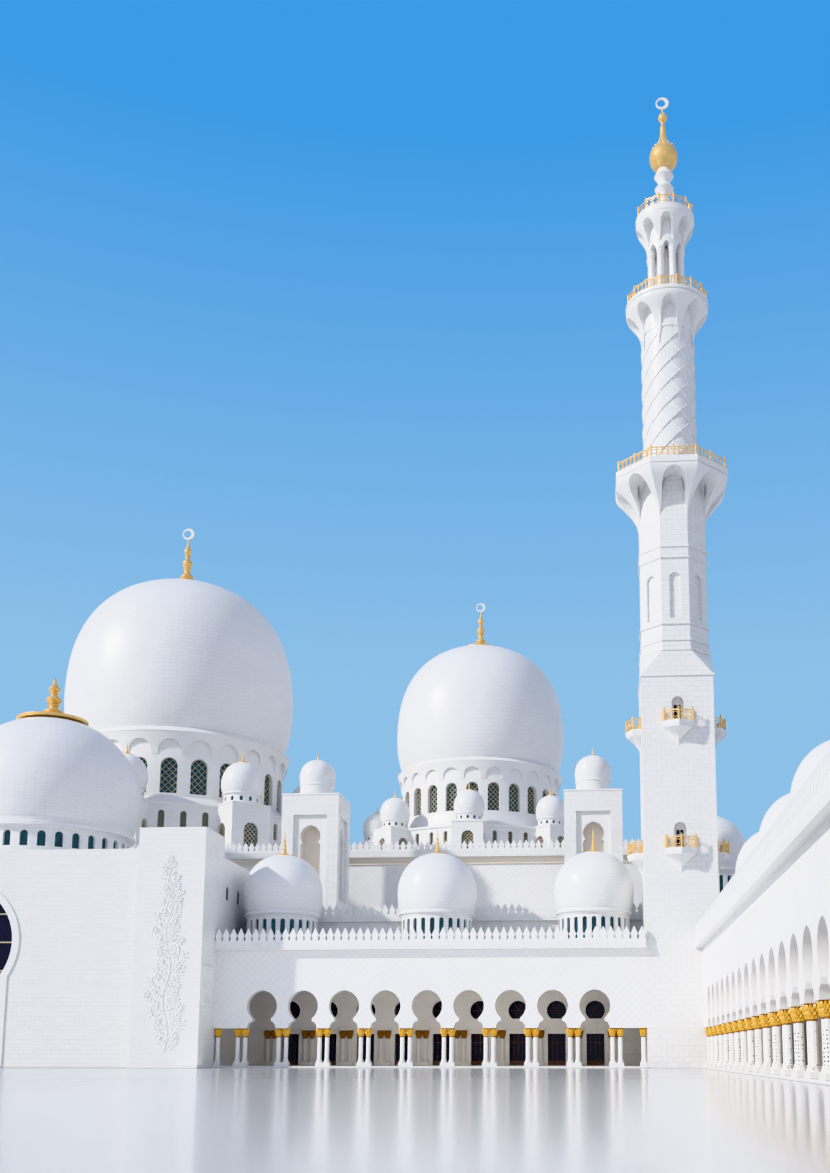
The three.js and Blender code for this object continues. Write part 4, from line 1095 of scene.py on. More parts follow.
def clipped_diagonal(half, foot, spring, shift, sign):
    """Ends of one diagonal where it lies inside an arched opening, or None."""
    inside = []
    steps = 60
    reach = spring + half - foot
    for i in range(steps + 1):
        x = -half + 2 * half * i / steps
        z = foot + reach / 2 + shift + sign * x
        below_arch = z <= spring or x * x + (z - spring) ** 2 <= half * half
        if z >= foot and below_arch:
            inside.append((x, z))
    if len(inside) < 4:
        return None
    return inside[0], inside[-1]


def glaze(work, places, window, behind, pitch, width):
    """Pane and diagonal bars of arched openings, as far behind their faces as behind says."""
    half, sill, head = window
    pane = plate(round_arch(half + PANE_LAP, sill, head + PANE_LAP), depth=PANE_DEPTH)
    work.add(pane, *[place @ at(0, behind) for place in places], finish=1)
    grid = lattice(half, sill, head, pitch, width)
    work.add(grid, *[place @ at(0, behind - 0.06) for place in places], finish=2)


def drum_bays(work, radius, count, foot, top, window, depth, bars=None):
    """Ring of wall with an arched window in each bay, glazed behind its reveal."""
    half, sill, head = window
    width = tau * radius / count
    wall = plate(rectangle(-width / 2, width / 2, foot, top), [round_arch(half, sill, head)], depth)
    bay = bent(wall, radius, (-half, 0, half))
    places = around(count)
    work.add(bay, *places)
    pane = plate(round_arch(half + PANE_LAP, sill, head + PANE_LAP), depth=PANE_DEPTH)
    work.add(bent(pane, radius - depth * 0.7), *places, finish=1)
    if bars is not None:
        grid = lattice(half, sill, head, half * 0.8, 0.085)
        move(grid, y=depth * 0.62 - radius)
        work.add(grid, *places, finish=bars)


DOME_CURVE = (
    (0.985, 0.0), (1.02, 0.08), (1.05, 0.2), (1.068, 0.36), (1.07, 0.52), (1.058, 0.7), (1.03, 0.88),
    (0.98, 1.05), (0.905, 1.21), (0.80, 1.355), (0.67, 1.475), (0.52, 1.565), (0.36, 1.63),
    (0.2, 1.67), (0.08, 1.687), (0.0, 1.69),
)


def smooth_curve(points, steps):
    """Even rounding of a profile: a Catmull-Rom curve through its points."""
    curve = []
    last = len(points) - 1
    for i in range(last):
        p0, p1, p2, p3 = (Vector(points[j]) for j in (max(i - 1, 0), i, i + 1, min(i + 2, last)))
        for k in range(steps):
            t = k / steps
            spot = 0.5 * (
                2 * p1 + (p2 - p0) * t + (2 * p0 - 5 * p1 + 4 * p2 - p3) * t * t
                + (3 * p1 - p0 - 3 * p2 + p3) * t ** 3
            )
            curve.append((max(spot.x, 0.0), spot.y))
    curve.append(tuple(points[last]))
    return curve


def stacked_finial(height, reach):
    """Gilded stem of flattened balls and collars on a skirt that lies on the crown."""
    shares = [
        (0.0, -0.06), (3.6, -0.06), (3.6, 0.004), (2.4, 0.014), (1.4, 0.026), (1.15, 0.035),
        (0.9, 0.06), (0.7, 0.1), (0.66, 0.12), (0.85, 0.135), (1.03, 0.185), (0.98, 0.215), (0.7, 0.26),
        (0.45, 0.295), (0.43, 0.315), (0.58, 0.34), (0.6, 0.365), (0.45, 0.38), (0.66, 0.41),
        (0.8, 0.475), (0.74, 0.51), (0.5, 0.555), (0.33, 0.585), (0.32, 0.605), (0.45, 0.62),
        (0.46, 0.64), (0.34, 0.65), (0.5, 0.685), (0.61, 0.73), (0.55, 0.765), (0.33, 0.81),
        (0.2, 0.865), (0.08, 0.98), (0.0, 1.0),
    ]
    return turned(scaled(shares, reach, height), 24)


def slim_finial(height, reach):
    """Small gilded finial: a skirt that lies on the crown and a slender ringed spike."""
    shares = [
        (0.0, -0.07), (2.7, -0.07), (2.7, -0.015), (1.7, 0.01), (1.0, 0.03), (0.85, 0.06), (0.62, 0.12),
        (0.5, 0.19), (0.64, 0.22), (0.64, 0.24), (0.46, 0.27), (0.38, 0.37), (0.52, 0.4), (0.52, 0.42),
        (0.34, 0.45), (0.28, 0.55), (0.4, 0.59), (0.38, 0.62), (0.2, 0.65), (0.14, 0.85), (0.0, 1.0),
    ]
    return turned(scaled(shares, reach, height), 16)


# Arcade domes: the drum's radius outside and inside, its windows, and the dome's profile above the
# roof, as (radius, height)
SMALL_DRUM = 3.68
SMALL_DRUM_INSIDE = 3.36
SMALL_DRUM_WINDOWS = 24
SMALL_DOME_TOP = 10.06
SMALL_DOME_CURVE = (
    (3.9, 3.95), (4.0, 4.3), (4.08, 4.9), (4.14, 5.7), (4.1, 6.4), (3.93, 7.2), (3.6, 8.0),
    (3.1, 8.75), (2.45, 9.35), (1.7, 9.75), (0.9, 9.98), (0.35, SMALL_DOME_TOP),
)
LEDGE = [(3.76, 3.25), (3.76, 3.36), (3.98, 3.48), (3.98, 3.6), (3.86, 3.66), (3.84, 3.9), (3.9, 3.95)]


def arcade_dome(name, x, y, roof, lift=0.0):
    """Dome on a drum of narrow windows, with a gilded finial."""
    work = Work("small_dome", "drum_glass", "gilt", "carved")
    window = (0.24, 0.75 + lift, 2.95 + lift)
    drum_bays(work, SMALL_DRUM, SMALL_DRUM_WINDOWS, 0.0, 3.3 + lift, window, 0.3)
    curve = smooth_curve(SMALL_DOME_CURVE, 3)
    inner = SMALL_DRUM_INSIDE
    inside = [(0.0, 9.6), (2.2, 8.8), (3.5, 7.0), (3.6, 4.0), (inner, 3.25)]
    work.add(turned(inside + LEDGE + curve + [(0.0, SMALL_DOME_TOP)], 64), at(0, 0, lift))
    work.add(turned(rectangle(inner, 3.8, 0, 0.4 + lift), 48), finish=3)
    work.add(slim_finial(2.6, 0.36), at(0, 0, SMALL_DOME_TOP + lift), finish=2)
    move(work.bm, x, y, roof + GAP)
    work.done(f"{name}_marble", "dome_marble", name, centre=(x, y))


class MOSQUE_OT_arcade_domes(bpy.types.Operator):
    """Add the windowed domes on the arcades and beside the hall"""

    bl_idname = "mosque.arcade_domes"
    bl_label = "Arcade Domes"

    CORNER = (12.5, 16.0, 1.4)

    def execute(self, context):
        for i, x in enumerate(FRONT_ARCHES[::DOME_EVERY]):
            arcade_dome(f"front_dome_{i + 1}", x, ARCADE_DOME_INSET, ARCADE_ROOF)
        for i, y in enumerate(SIDE_ARCHES[::DOME_EVERY]):
            arcade_dome(f"side_dome_{i + 1}", SIDE_FACE_X + ARCADE_DOME_INSET, -y, ARCADE_ROOF)
        x, y, lift = self.CORNER
        arcade_dome("corner_dome", x, y, LOWER_ROOF, lift)
        return {"FINISHED"}


# Great domes: the drum's radius, foot of the shell, top of the finial, the drum's windows, and the
# ring of turrets on the base; scale sizes the turrets' domes and windows
GREAT_DOMES = (
    dict(
        name="second", x=SECOND_AXIS_X, radius=11.5, ring_z=42.0, peak=68.7,
        sill=34.5, head=38.5, half=0.85, turret_ring=15.3, turret_half=2.1, turret_top=32.0,
        turret_scale=1.0,
    ),
    dict(
        name="main", x=MAIN_AXIS_X, radius=15.6, ring_z=46.2, peak=82.1,
        sill=36.8, head=41.8, half=1.15, turret_ring=20.0, turret_half=2.9, turret_top=34.9,
        turret_scale=1.38,
    ),
)


class MOSQUE_OT_great_domes(bpy.types.Operator):
    """Add the two great domes with their drums, bases, turrets and finials"""

    bl_idname = "mosque.great_domes"
    bl_label = "Great Domes"

    REVEAL = 0.85

    def execute(self, context):
        self.steps = context.scene.mosque_sizes.turn_steps
        self.windows = context.scene.mosque_sizes.drum_windows
        for dome in GREAT_DOMES:
            self.add_shell(dome)
            self.add_drum(dome)
            self.add_base(dome)
            self.add_finial(dome)
        return {"FINISHED"}

    def add_shell(self, d):
        r = d["radius"]
        inside = [(0.0, 1.63), (0.4, 1.54), (0.85, 1.15), (0.98, 0.6), (0.94, 0)]
        work = Work("dome")
        profile = scaled(inside + smooth_curve(DOME_CURVE, 3), r, r)
        work.add(turned(profile, self.steps), at(0, 0, d["ring_z"]))
        self.dome_done(work, d, "cladding", "dome_marble", "shell", wrap=True)

    def dome_done(self, work, d, name, slot, node, wrap=False):
        """Moves a piece to its dome's axis and finishes it."""
        axis = (d["x"], GREAT_DOME_Y)
        move(work.bm, *axis)
        dome = d["name"] + "_dome_"
        work.done(dome + name, slot, dome + node, centre=axis if wrap else None)

    def add_drum(self, d):
        r = d["radius"]
        work = Work("carved", "drum_glass", "bars")
        top = d["ring_z"] - GAP
        brow = d["ring_z"] - 0.055 * r
        drum_bays(
            work, r, self.windows, d["sill"] - 0.3, top - 0.3,
            (d["half"], d["sill"], d["head"]), self.REVEAL, bars=2,
        )
        self.add_scallops(work, d, d["head"] + 0.45, brow)
        band = [(r - 0.3, brow), (1.05 * r, brow), (1.055 * r, brow + 0.12), (r, top), (r - 0.3, top)]
        work.add(turned(band, self.steps))
        foot = d["turret_top"] - 0.1
        skirt = [
            (r - self.REVEAL, foot), (r * 1.09, foot), (r * 1.085, foot + 0.25), (r * 1.065, foot + 0.4),
            (r + 0.12, d["sill"] - 0.5), (r + 0.12, d["sill"] - 0.25), (r - self.REVEAL, d["sill"] - 0.25),
        ]
        work.add(turned(skirt, self.steps))
        self.dome_done(work, d, "windows", "white_marble", "drum")

    def add_scallops(self, work, d, foot, top):
        """Flared ring under the brow, cut by one round blind arch over each window."""
        r = d["radius"]
        width = tau * r / self.windows
        half = width * 0.38
        head = d["head"] + (top - d["head"]) * 0.73
        outline = [(-width / 2, foot), *round_arch(half, foot, head, 9)]
        outline += [(width / 2, foot), (width / 2, top), (-width / 2, top)]
        bay = plate(outline, depth=0.55)
        rise = top - foot
        cut(bay, rows=[foot + rise * share for share in (0.2, 0.4, 0.6, 0.8)])
        for vert in bay.verts:
            if vert.co.y < 0.3:
                vert.co.y -= 0.06 + 0.045 * r * max(0.0, (vert.co.z - foot) / rise) ** 1.3
        bend = bent(bay, r, [half * share for share in (-1, -0.6, -0.25, 0, 0.25, 0.6, 1)])
        work.add(bend, *around(self.windows))

    def add_base(self, d):
        """Eight-sided base; each side has three windows, each corner a turret with a small dome."""
        ring_r = d["turret_ring"]
        half = d["turret_half"]
        foot = UPPER_ROOF + GAP
        flat = ring_r * cos(pi / 8)
        scale = d["turret_scale"]
        work = Work("marble", "drum_glass", "bars", "small_dome", "gilt", "carved")
        top = d["turret_top"] - 0.06
        head = top - 0.75 * scale
        sill = head - 1.75 * scale
        window = (0.3 * scale, sill, head)
        shift = ring_r * 0.145
        middles = (-shift, 0, shift)
        faces = around(8, turn=pi / 8)
        windows = [shifted(round_arch(*window), x) for x in middles]
        wall = facet(8, flat, foot, top, windows, 0.6, cuts=(-shift / 2, shift / 2))
        work.add(wall, *faces)
        spots = [turn @ at(x, -flat) for turn in faces for x in middles]
        glaze(work, spots, window, 0.42, 0.3 * scale, 0.045 * scale)
        inner = d["radius"] - 0.9
        work.add(prism(rectangle(inner, flat - 0.3, top - 0.4, top - 0.01), 8, turn=pi / 8))
        coping = [
            (flat - 0.2, top - 0.28), (flat + 0.1, top - 0.28), (flat + 0.16, top - 0.22),
            (flat + 0.16, top + 0.02), (flat - 0.2, top + 0.02),
        ]
        work.add(prism(coping, 8, turn=pi / 8), finish=5)
        self.add_turrets(work, d, foot, half, scale)
        self.dome_done(work, d, "turrets", "white_marble", "base", wrap=True)

    def add_turrets(self, work, d, foot, half, scale):
        top = d["turret_top"]
        corners = [turn @ at(0, -d["turret_ring"]) for turn in around(8)]
        window = (0.78 * scale, foot + 1.2 * scale, foot + 4.3 * scale)
        walls = [place @ at(0, 0, 0, turn) for place in corners for turn in (-pi / 2, 0, pi / 2, pi)]
        work.add(facet(4, half, foot, top - 0.05, [round_arch(*window)], 0.5), *walls)
        glaze(work, walls, window, 0.36 - half, 0.48 * scale, 0.08 * scale)
        cap = [(0, top - 0.2), (half + 0.08, top - 0.2), (half + 0.08, top), (0, top + 0.04)]
        work.add(prism(cap, 4), *corners, finish=5)
        self.add_little_dome(work, [corner @ at(0, 0, top) for corner in corners], scale)

    def add_little_dome(self, work, places, scale):
        drum = Work("carved")
        window = (0.16 * scale, 0.3 * scale, 0.75 * scale)
        drum_bays(drum, 1.8 * scale, 12, 0.0, 1.05 * scale, window, 0.2 * scale)
        work.include(drum, *places, finishes=(5, 1))
        profile = [
            (0.0, 4.3), (1.5, 3.0), (1.8, 1.02), (1.95, 1.02), (1.95, 1.15), (1.88, 1.18), (2.0, 1.5),
            (2.08, 2.1), (2.03, 2.7), (1.85, 3.3), (1.5, 3.85), (1.0, 4.25), (0.4, 4.45), (0.0, 4.5),
        ]
        work.add(turned(scaled(profile, scale, scale), 40), *places, finish=3)
        cap = slim_finial(1.3 * scale, 0.2 * scale)
        work.add(cap, *[place @ at(0, 0, 4.5 * scale) for place in places], finish=4)

    def add_finial(self, d):
        foot = d["ring_z"] + DOME_CURVE[-1][1] * d["radius"]
        height = d["peak"] - foot
        work = Work("gilt", "carved")
        work.add(stacked_finial(height * 0.82, 0.1 * height), at(0, 0, foot))
        work.add(crescent(0.098 * height), at(0, 0, foot + 0.902 * height), finish=1)
        self.dome_done(work, d, "spire", "gilt_metal", "finial")


# Gilded rails
POST_WIDTH = 0.12


def rail_panel(length, height):
    """Railing between two posts: two bars, uprights and a row of scrolls."""
    work = Work()
    thin = 0.045
    low = 0.1
    work.add(bar((0, 0, low), (length, 0, low), 0.05))
    work.add(bar((0, 0, height), (length, 0, height), 0.06, 0.1))
    middle = (low + height) / 2
    radius = (height - low) * 0.27
    count = max(1, round(length / (radius * 2.5)))
    step = length / count
    for i in range(count + 1):
        x = min(max(i * step, thin), length - thin)
        work.add(bar((x, 0, low), (x, 0, height), thin))
    for i in range(count):
        x = (i + 0.5) * step
        scroll = ring(radius, 0.035, 12, 4)
        bmesh.ops.rotate(scroll, verts=scroll.verts, matrix=Matrix.Rotation(pi / 2, 3, "X"))
        work.add(scroll, at(x, 0, middle))
        for sx in (-1, 1):
            for sz in (-1, 1):
                work.add(bar(
                    (x + sx * radius * 0.7, 0, middle + sz * radius * 0.7),
                    (x + sx * step * 0.46, 0, middle + sz * (height - low) * 0.48), thin,
                ))
    return work


def rail_run(work, spots, height, finish, closed=False):
    """Railing with a knobbed post at each (x, y, z) spot."""
    post = turned([
        (0, 0), (POST_WIDTH * 0.7, 0), (POST_WIDTH * 0.7, height * 0.98), (POST_WIDTH, height),
        (POST_WIDTH, height + 0.06), (POST_WIDTH * 0.4, height + 0.1), (POST_WIDTH * 0.85, height + 0.2),
        (POST_WIDTH * 0.3, height + 0.31), (0, height + 0.36),
    ], 8)
    work.add(post, *[Matrix.Translation(spot) for spot in spots], finish=finish)
    for a, b in zip(spots, spots[1:] + (spots[:1] if closed else [])):
        along = Vector(b) - Vector(a)
        place = at(*a, atan2(along.y, along.x))
        work.include(rail_panel(along.length, height), place, finishes=(finish,))


def ring_spots(count, radius, z, turn):
    turns = [turn + i * tau / count for i in range(count)]
    return [(radius * cos(a), radius * sin(a), z) for a in turns]


# Minaret
SQUARE_TOP = 39.1
OCTAGON_FOOT = 41.6
OCTAGON_FLAT = 3.4
OCTAGON_TOP = 55.1
INNER_CORE = 2.4
FIRST_DECK = 61.5
SHAFT_RADIUS = 2.87
SHAFT_TOP = 77.8
SECOND_DECK = 81.5
LANTERN_FLOOR = 82.6
LANTERN_TOP = 88.4
THIRD_DECK = 92.0
NECK_TOP = 98.2
RAIL_HEIGHT = 1.15


def minaret_done(work, name, slot, *nodes, sharp=32.0, wrap=False):
    move(work.bm, *MINARET)
    centre = (MINARET.x, MINARET.y) if wrap else None
    work.done(name, slot, *nodes, centre=centre, sharp=sharp)


class MOSQUE_OT_minaret_shaft(bpy.types.Operator):
    """Add the square shaft with its balconies, and the eight-sided tier above it"""

    bl_idname = "mosque.minaret_shaft"
    bl_label = "Minaret Shaft"

    BALCONY_DECKS = (21.2, 34.0)
    DOOR = (0.6, 2.75)
    HALF = 1.55
    SHOULDER = 0.86
    REACH = 1.57
    SLAB_FOOT = -0.6
    BRACKET = 2.0
    # Glazing of a balcony's door: left, right, foot and top of each pane
    PANES = ((-0.34, 0.34, 0, 1.5), (-0.34, -0.05, 1.62, 2.05), (0.05, 0.34, 1.62, 2.05))
    # Walls of the eight-sided tier: foot and top; and half width, foot and top of a blind window
    TIER = (42.85, 51.4)
    NICHE = (0.55, 45.1, 49.95)

    def execute(self, context):
        self.add_square()
        self.add_transition()
        self.add_octagon()
        return {"FINISHED"}

    def add_square(self):
        work = Work("minaret", "carved", "gilt", "glass")
        half, height = self.DOOR
        doors = [round_arch(half, deck, deck + height) for deck in self.BALCONY_DECKS]
        work.add(facet(4, MINARET_HALF, 0.0, SQUARE_TOP - 0.05, doors, WALL), *around(4))
        band = [(MINARET_HALF - 0.2, SQUARE_TOP - 0.22), (MINARET_HALF + 0.12, SQUARE_TOP - 0.2),
                (MINARET_HALF + 0.12, SQUARE_TOP), (MINARET_HALF - 0.2, SQUARE_TOP)]
        work.add(prism(band, 4), finish=1)
        for deck in self.BALCONY_DECKS:
            for turn in around(4):
                place = turn @ at(0, -MINARET_HALF, deck)
                self.add_balcony(work, place)
        minaret_done(work, "minaret_shaft_and_balconies", "white_marble", "minaret_square_shaft")

    def plan(self, inset):
        h = self.HALF - inset
        return [(-h, 0.0), (-h, -self.SHOULDER), (0.0, -self.REACH + inset), (h, -self.SHOULDER), (h, 0.0)]

    def add_balcony(self, work, place):
        half, height = self.DOOR
        leaf_y = 0.7
        back = plate(round_arch(half + 0.1, -0.05, height + 0.1), depth=0.1)
        work.add(back, place @ at(0, leaf_y), finish=1)
        for left, right, low, high in self.PANES:
            work.add(block(left, right, leaf_y - 0.06, leaf_y, low, high), place, finish=3)
        for low, high, inset in ((-0.22, 0.0, 0.0), (-0.42, -0.22, 0.05), (self.SLAB_FOOT, -0.42, 0.13)):
            work.add(self.slab(inset, low, high), place, finish=1)
        work.add(self.bracket(), place, finish=1)
        inset = 0.12
        spots = [(x, y, 0.0) for x, y in self.plan(inset)]
        spots[0] = (spots[0][0], -0.12, 0.0)
        spots[-1] = (spots[-1][0], -0.12, 0.0)
        rails = Work()
        rail_run(rails, spots, 1.05, 0)
        work.include(rails, place, finishes=(2,))

    def slab(self, inset, low, high):
        bm = bmesh.new()
        push(bm, outline_face(bm, [(x, y, low) for x, y in self.plan(inset)]), (0, 0, high - low))
        return finished(bm)

    def bracket(self):
        """Tapering support under a balcony, hollowed on its way down to a point on the wall."""
        bm = bmesh.new()
        faces = outline_face(bm, [(x, y, self.SLAB_FOOT) for x, y in self.plan(0.16)])
        layers = 8
        for i in range(1, layers + 1):
            grown = bmesh.ops.extrude_face_region(bm, geom=faces)
            faces = [item for item in grown["geom"] if isinstance(item, bmesh.types.BMFace)]
            share = i / layers
            before = (1 - (i - 1) / layers) ** 1.9
            after = max((1 - share) ** 1.9, 0.004)
            for vert in {v for face in faces for v in face.verts}:
                vert.co.x *= after / before
                vert.co.y *= after / before
                vert.co.z = self.SLAB_FOOT - self.BRACKET * share
        return finished(bm)

    def add_transition(self):
        bm = bmesh.new()
        half = MINARET_HALF
        for x, y in ((-half, -half), (half, -half), (half, half), (-half, half)):
            bm.verts.new((x, y, SQUARE_TOP))
        radius = (OCTAGON_FLAT + 0.15) / cos(pi / 8)
        for x, y, z in ring_spots(8, radius, OCTAGON_FOOT, pi / 8):
            bm.verts.new((x, y, z))
        bmesh.ops.convex_hull(bm, input=bm.verts)
        work = Work("minaret")
        work.add(finished(bm))
        minaret_done(work, "minaret_shoulders", "white_marble", "minaret_transition", sharp=10)

    def add_octagon(self):
        work = Work("minaret", "carved")
        f = OCTAGON_FLAT
        low, high = self.TIER
        niche = round_arch(*self.NICHE)
        work.add(facet(8, f, low - 0.1, high + 0.1, [niche], 0.28), *around(8))
        work.add(prism(rectangle(INNER_CORE, f - 0.26, OCTAGON_FOOT, OCTAGON_TOP), 8))
        rings = []
        for foot, top in ((OCTAGON_FOOT, low), (high, 52.9)):
            rings.append([(-0.3, foot), (0.04, foot), (0.04, top - 0.12), (0, top), (-0.3, top)])
        for z, reach in ((OCTAGON_FOOT, 0.22), (42.65, 0.13), (44.4, 0.13), (51.5, 0.13), (52.65, 0.13)):
            rings.append([(-0.05, z), (reach, z), (reach, z + 0.18), (0.06, z + 0.27), (-0.05, z + 0.27)])
        rings.append(rectangle(-0.3, 0, 52.85, OCTAGON_TOP - GAP))
        for ring in rings:
            work.add(prism(shifted(ring, f), 8))
        minaret_done(work, "minaret_eight_sides", "white_marble", "minaret_octagon", sharp=20)


class MOSQUE_OT_minaret_galleries(bpy.types.Operator):
    """Add the three flared galleries, the ribbed round shaft and the gilded rails"""

    bl_idname = "mosque.minaret_galleries"
    bl_label = "Minaret Galleries"

    # Faces of the three flares, as (distance from the axis, height)
    FIRST = (
        (OCTAGON_FLAT, OCTAGON_TOP), (3.42, 56.3), (3.62, 57.2), (4.1, 58.1), (4.85, 59.1), (5.5, 59.9),
        (5.75, 60.4), (5.8, 60.75),
    )
    SECOND = (
        (2.885, 76.0), (2.9, 77.0), (2.96, 78.0), (3.2, 78.8), (3.65, 79.5), (4.1, 80.1), (4.35, 80.5),
        (4.42, 80.75),
    )
    THIRD = (
        (2.1, LANTERN_TOP), (2.15, 88.9), (2.4, 89.5), (2.75, 90.1), (3.02, 90.6), (3.14, 91.0),
        (3.17, 91.2),
    )
    RIB_STARTS = 8
    RIB_TURN = 5.3

    def execute(self, context):
        self.add_first()
        self.add_round_shaft()
        self.add_second()
        self.add_lantern()
        self.add_third()
        return {"FINISHED"}

    def add_first(self):
        work = Work("minaret", "carved")
        core = OCTAGON_FLAT
        arch = [(1.36, 56.4), (1.27, 57.0), (1.2, 57.8), (1.17, 58.9)]
        arch += [(1.17 * cos(i * pi / 16) ** 0.9, 58.9 + 1.55 * sin(i * pi / 16)) for i in range(1, 8)]
        opening = mirrored([(1.4, 55.2), *arch, (0.0, 60.5)])
        bay = flared_bay(self.FIRST, core, opening)
        work.add(bay, *around(8), finish=1)
        work.add(prism(rectangle(INNER_CORE, core, OCTAGON_TOP, 60.9), 8))
        work.add(prism([
            (INNER_CORE, 60.7), (5.62, 60.7), (5.62, 60.8), (5.8, 60.85), (5.8, FIRST_DECK),
            (INNER_CORE, FIRST_DECK),
        ], 8), finish=1)
        minaret_done(work, "minaret_first_flare", "white_marble", "minaret_first_gallery", sharp=24)
        self.add_rail("minaret_first_railing", "minaret_first_rail", 16, 5.62, FIRST_DECK, 8)

    def add_round_shaft(self):
        work = Work("small_dome", "carved")
        r = SHAFT_RADIUS - 0.09
        work.add(turned([
            (1.5, FIRST_DECK + GAP), (3.1, FIRST_DECK + GAP), (3.1, FIRST_DECK + 0.5),
            (3.0, FIRST_DECK + 0.62), (r, FIRST_DECK + 1.0), (r, SHAFT_TOP), (1.5, SHAFT_TOP),
        ], 64))
        height = SHAFT_TOP - FIRST_DECK - 1.0
        steps = 60
        for sign in (-1, 1):
            rib = bmesh.new()
            section = [(r - 0.02, -0.08), (r + 0.1, -0.035), (r + 0.1, 0.035), (r - 0.02, 0.08)]
            face = outline_face(rib, [(x, 0, FIRST_DECK + 1.0 + z) for x, z in section])
            bmesh.ops.spin(
                rib, geom=face, cent=(0, 0, 0), axis=(0, 0, 1), dvec=(0, 0, height / steps),
                angle=sign * self.RIB_TURN, steps=steps,
            )
            work.add(finished(rib), *around(self.RIB_STARTS), finish=1)
        minaret_done(work, "minaret_ribbed_shaft", "white_marble", "minaret_round_shaft", wrap=True)

    def round_opening(self, foot_half, half, foot, spring, top):
        rise = top - spring
        arch = [(foot_half, foot), (half, foot + (spring - foot) * 0.55), (half, spring)]
        arch += [(half * cos(i * pi / 14), spring + rise * sin(i * pi / 14)) for i in range(1, 7)]
        return mirrored([*arch, (0.0, top)])

    def add_second(self):
        work = Work("carved")
        opening = self.round_opening(1.12, 0.9, 76.01, 79.3, 80.45)
        work.add(flared_bay(self.SECOND, SHAFT_RADIUS - 0.03, opening, flat=False), *around(8))
        work.add(turned(rectangle(1.5, SHAFT_RADIUS, SHAFT_TOP, 80.9), 48))
        work.add(turned([
            (1.5, 80.7), (4.42, 80.7), (4.42, 80.98), (4.3, 81.02), (4.3, 81.1), (4.46, 81.16),
            (4.46, SECOND_DECK), (1.5, SECOND_DECK),
        ], 64))
        minaret_done(work, "minaret_second_flare", "white_marble", "minaret_second_gallery")
        self.add_rail("minaret_second_railing", "minaret_second_rail", 16, 4.3, SECOND_DECK, 16)

    def add_lantern(self):
        work = Work("carved")
        work.add(turned([
            (0, SECOND_DECK), (2.3, SECOND_DECK), (2.3, SECOND_DECK + 0.25), (2.12, SECOND_DECK + 0.4),
            (2.12, 82.5), (2.2, LANTERN_FLOOR), (0, LANTERN_FLOOR),
        ], 40))
        work.add(prism(rectangle(0, 1.0, LANTERN_FLOOR, 88.0), 10))
        post = turned([
            (0, LANTERN_FLOOR), (0.48, LANTERN_FLOOR), (0.48, 82.75), (0.38, 82.95), (0.36, 87.1),
            (0.44, 87.25), (0.38, 87.4), (0.48, 87.6), (0.48, 87.75), (0, 87.75),
        ], 14)
        work.add(post, *[turn @ at(0, -1.7) for turn in around(8, turn=pi / 8)])
        arch = mirrored([(0.42, 87.61), (0.4, 87.8), (0.3, 88.02), (0.15, 88.18), (0.0, 88.24)])
        profile = ((2.06, 87.6), (2.08, 88.0), (2.1, 88.3), (2.1, LANTERN_TOP))
        work.add(flared_bay(profile, 1.3, arch, flat=False), *around(8))
        work.add(turned([(0, 88.25), (2.06, 88.25), (2.1, LANTERN_TOP), (0, LANTERN_TOP)], 40))
        minaret_done(work, "minaret_open_lantern", "white_marble", "minaret_lantern")

    def add_third(self):
        work = Work("carved")
        opening = self.round_opening(0.78, 0.66, 88.45, 90.2, 90.95)
        work.add(flared_bay(self.THIRD, 1.95, opening, flat=False), *around(8))
        work.add(turned(rectangle(0, 1.97, LANTERN_TOP, 91.3), 40))
        work.add(turned([
            (0, 91.15), (3.1, 91.15), (3.13, 91.22), (3.2, 91.28), (3.2, THIRD_DECK), (0, THIRD_DECK),
        ], 56))
        neck = [
            (0, THIRD_DECK), (1.0, THIRD_DECK), (1.0, 92.2), (0.7, 92.35), (0.64, 93.4), (0.6, 94.9),
            (0.75, 95.4), (1.05, 95.85), (0.95, 96.0), (0.62, 96.45), (0.62, 96.6), (0.8, 97.0),
            (1.07, 97.4), (0.98, 97.6), (0.75, 98.0), (0.72, NECK_TOP), (0, NECK_TOP),
        ]
        work.add(turned(neck, 32))
        minaret_done(work, "minaret_third_flare", "white_marble", "minaret_third_gallery")
        self.add_rail("minaret_third_railing", "minaret_third_rail", 12, 3.05, THIRD_DECK, 12)

    def add_rail(self, name, node, posts, distance, deck, sides):
        """Railing round a deck; on eight sides every second post stands in the middle of a side."""
        work = Work("gilt")
        corner = distance / cos(pi / sides) - POST_WIDTH
        spots = []
        for i, (x, y, z) in enumerate(ring_spots(posts, 1.0, deck, pi / sides)):
            reach = corner if posts == sides or i % 2 == 0 else corner * cos(pi / sides)
            spots.append((x * reach, y * reach, z))
        rail_run(work, spots, RAIL_HEIGHT - 0.1, 0, closed=True)
        minaret_done(work, name, "gilt_metal", node)


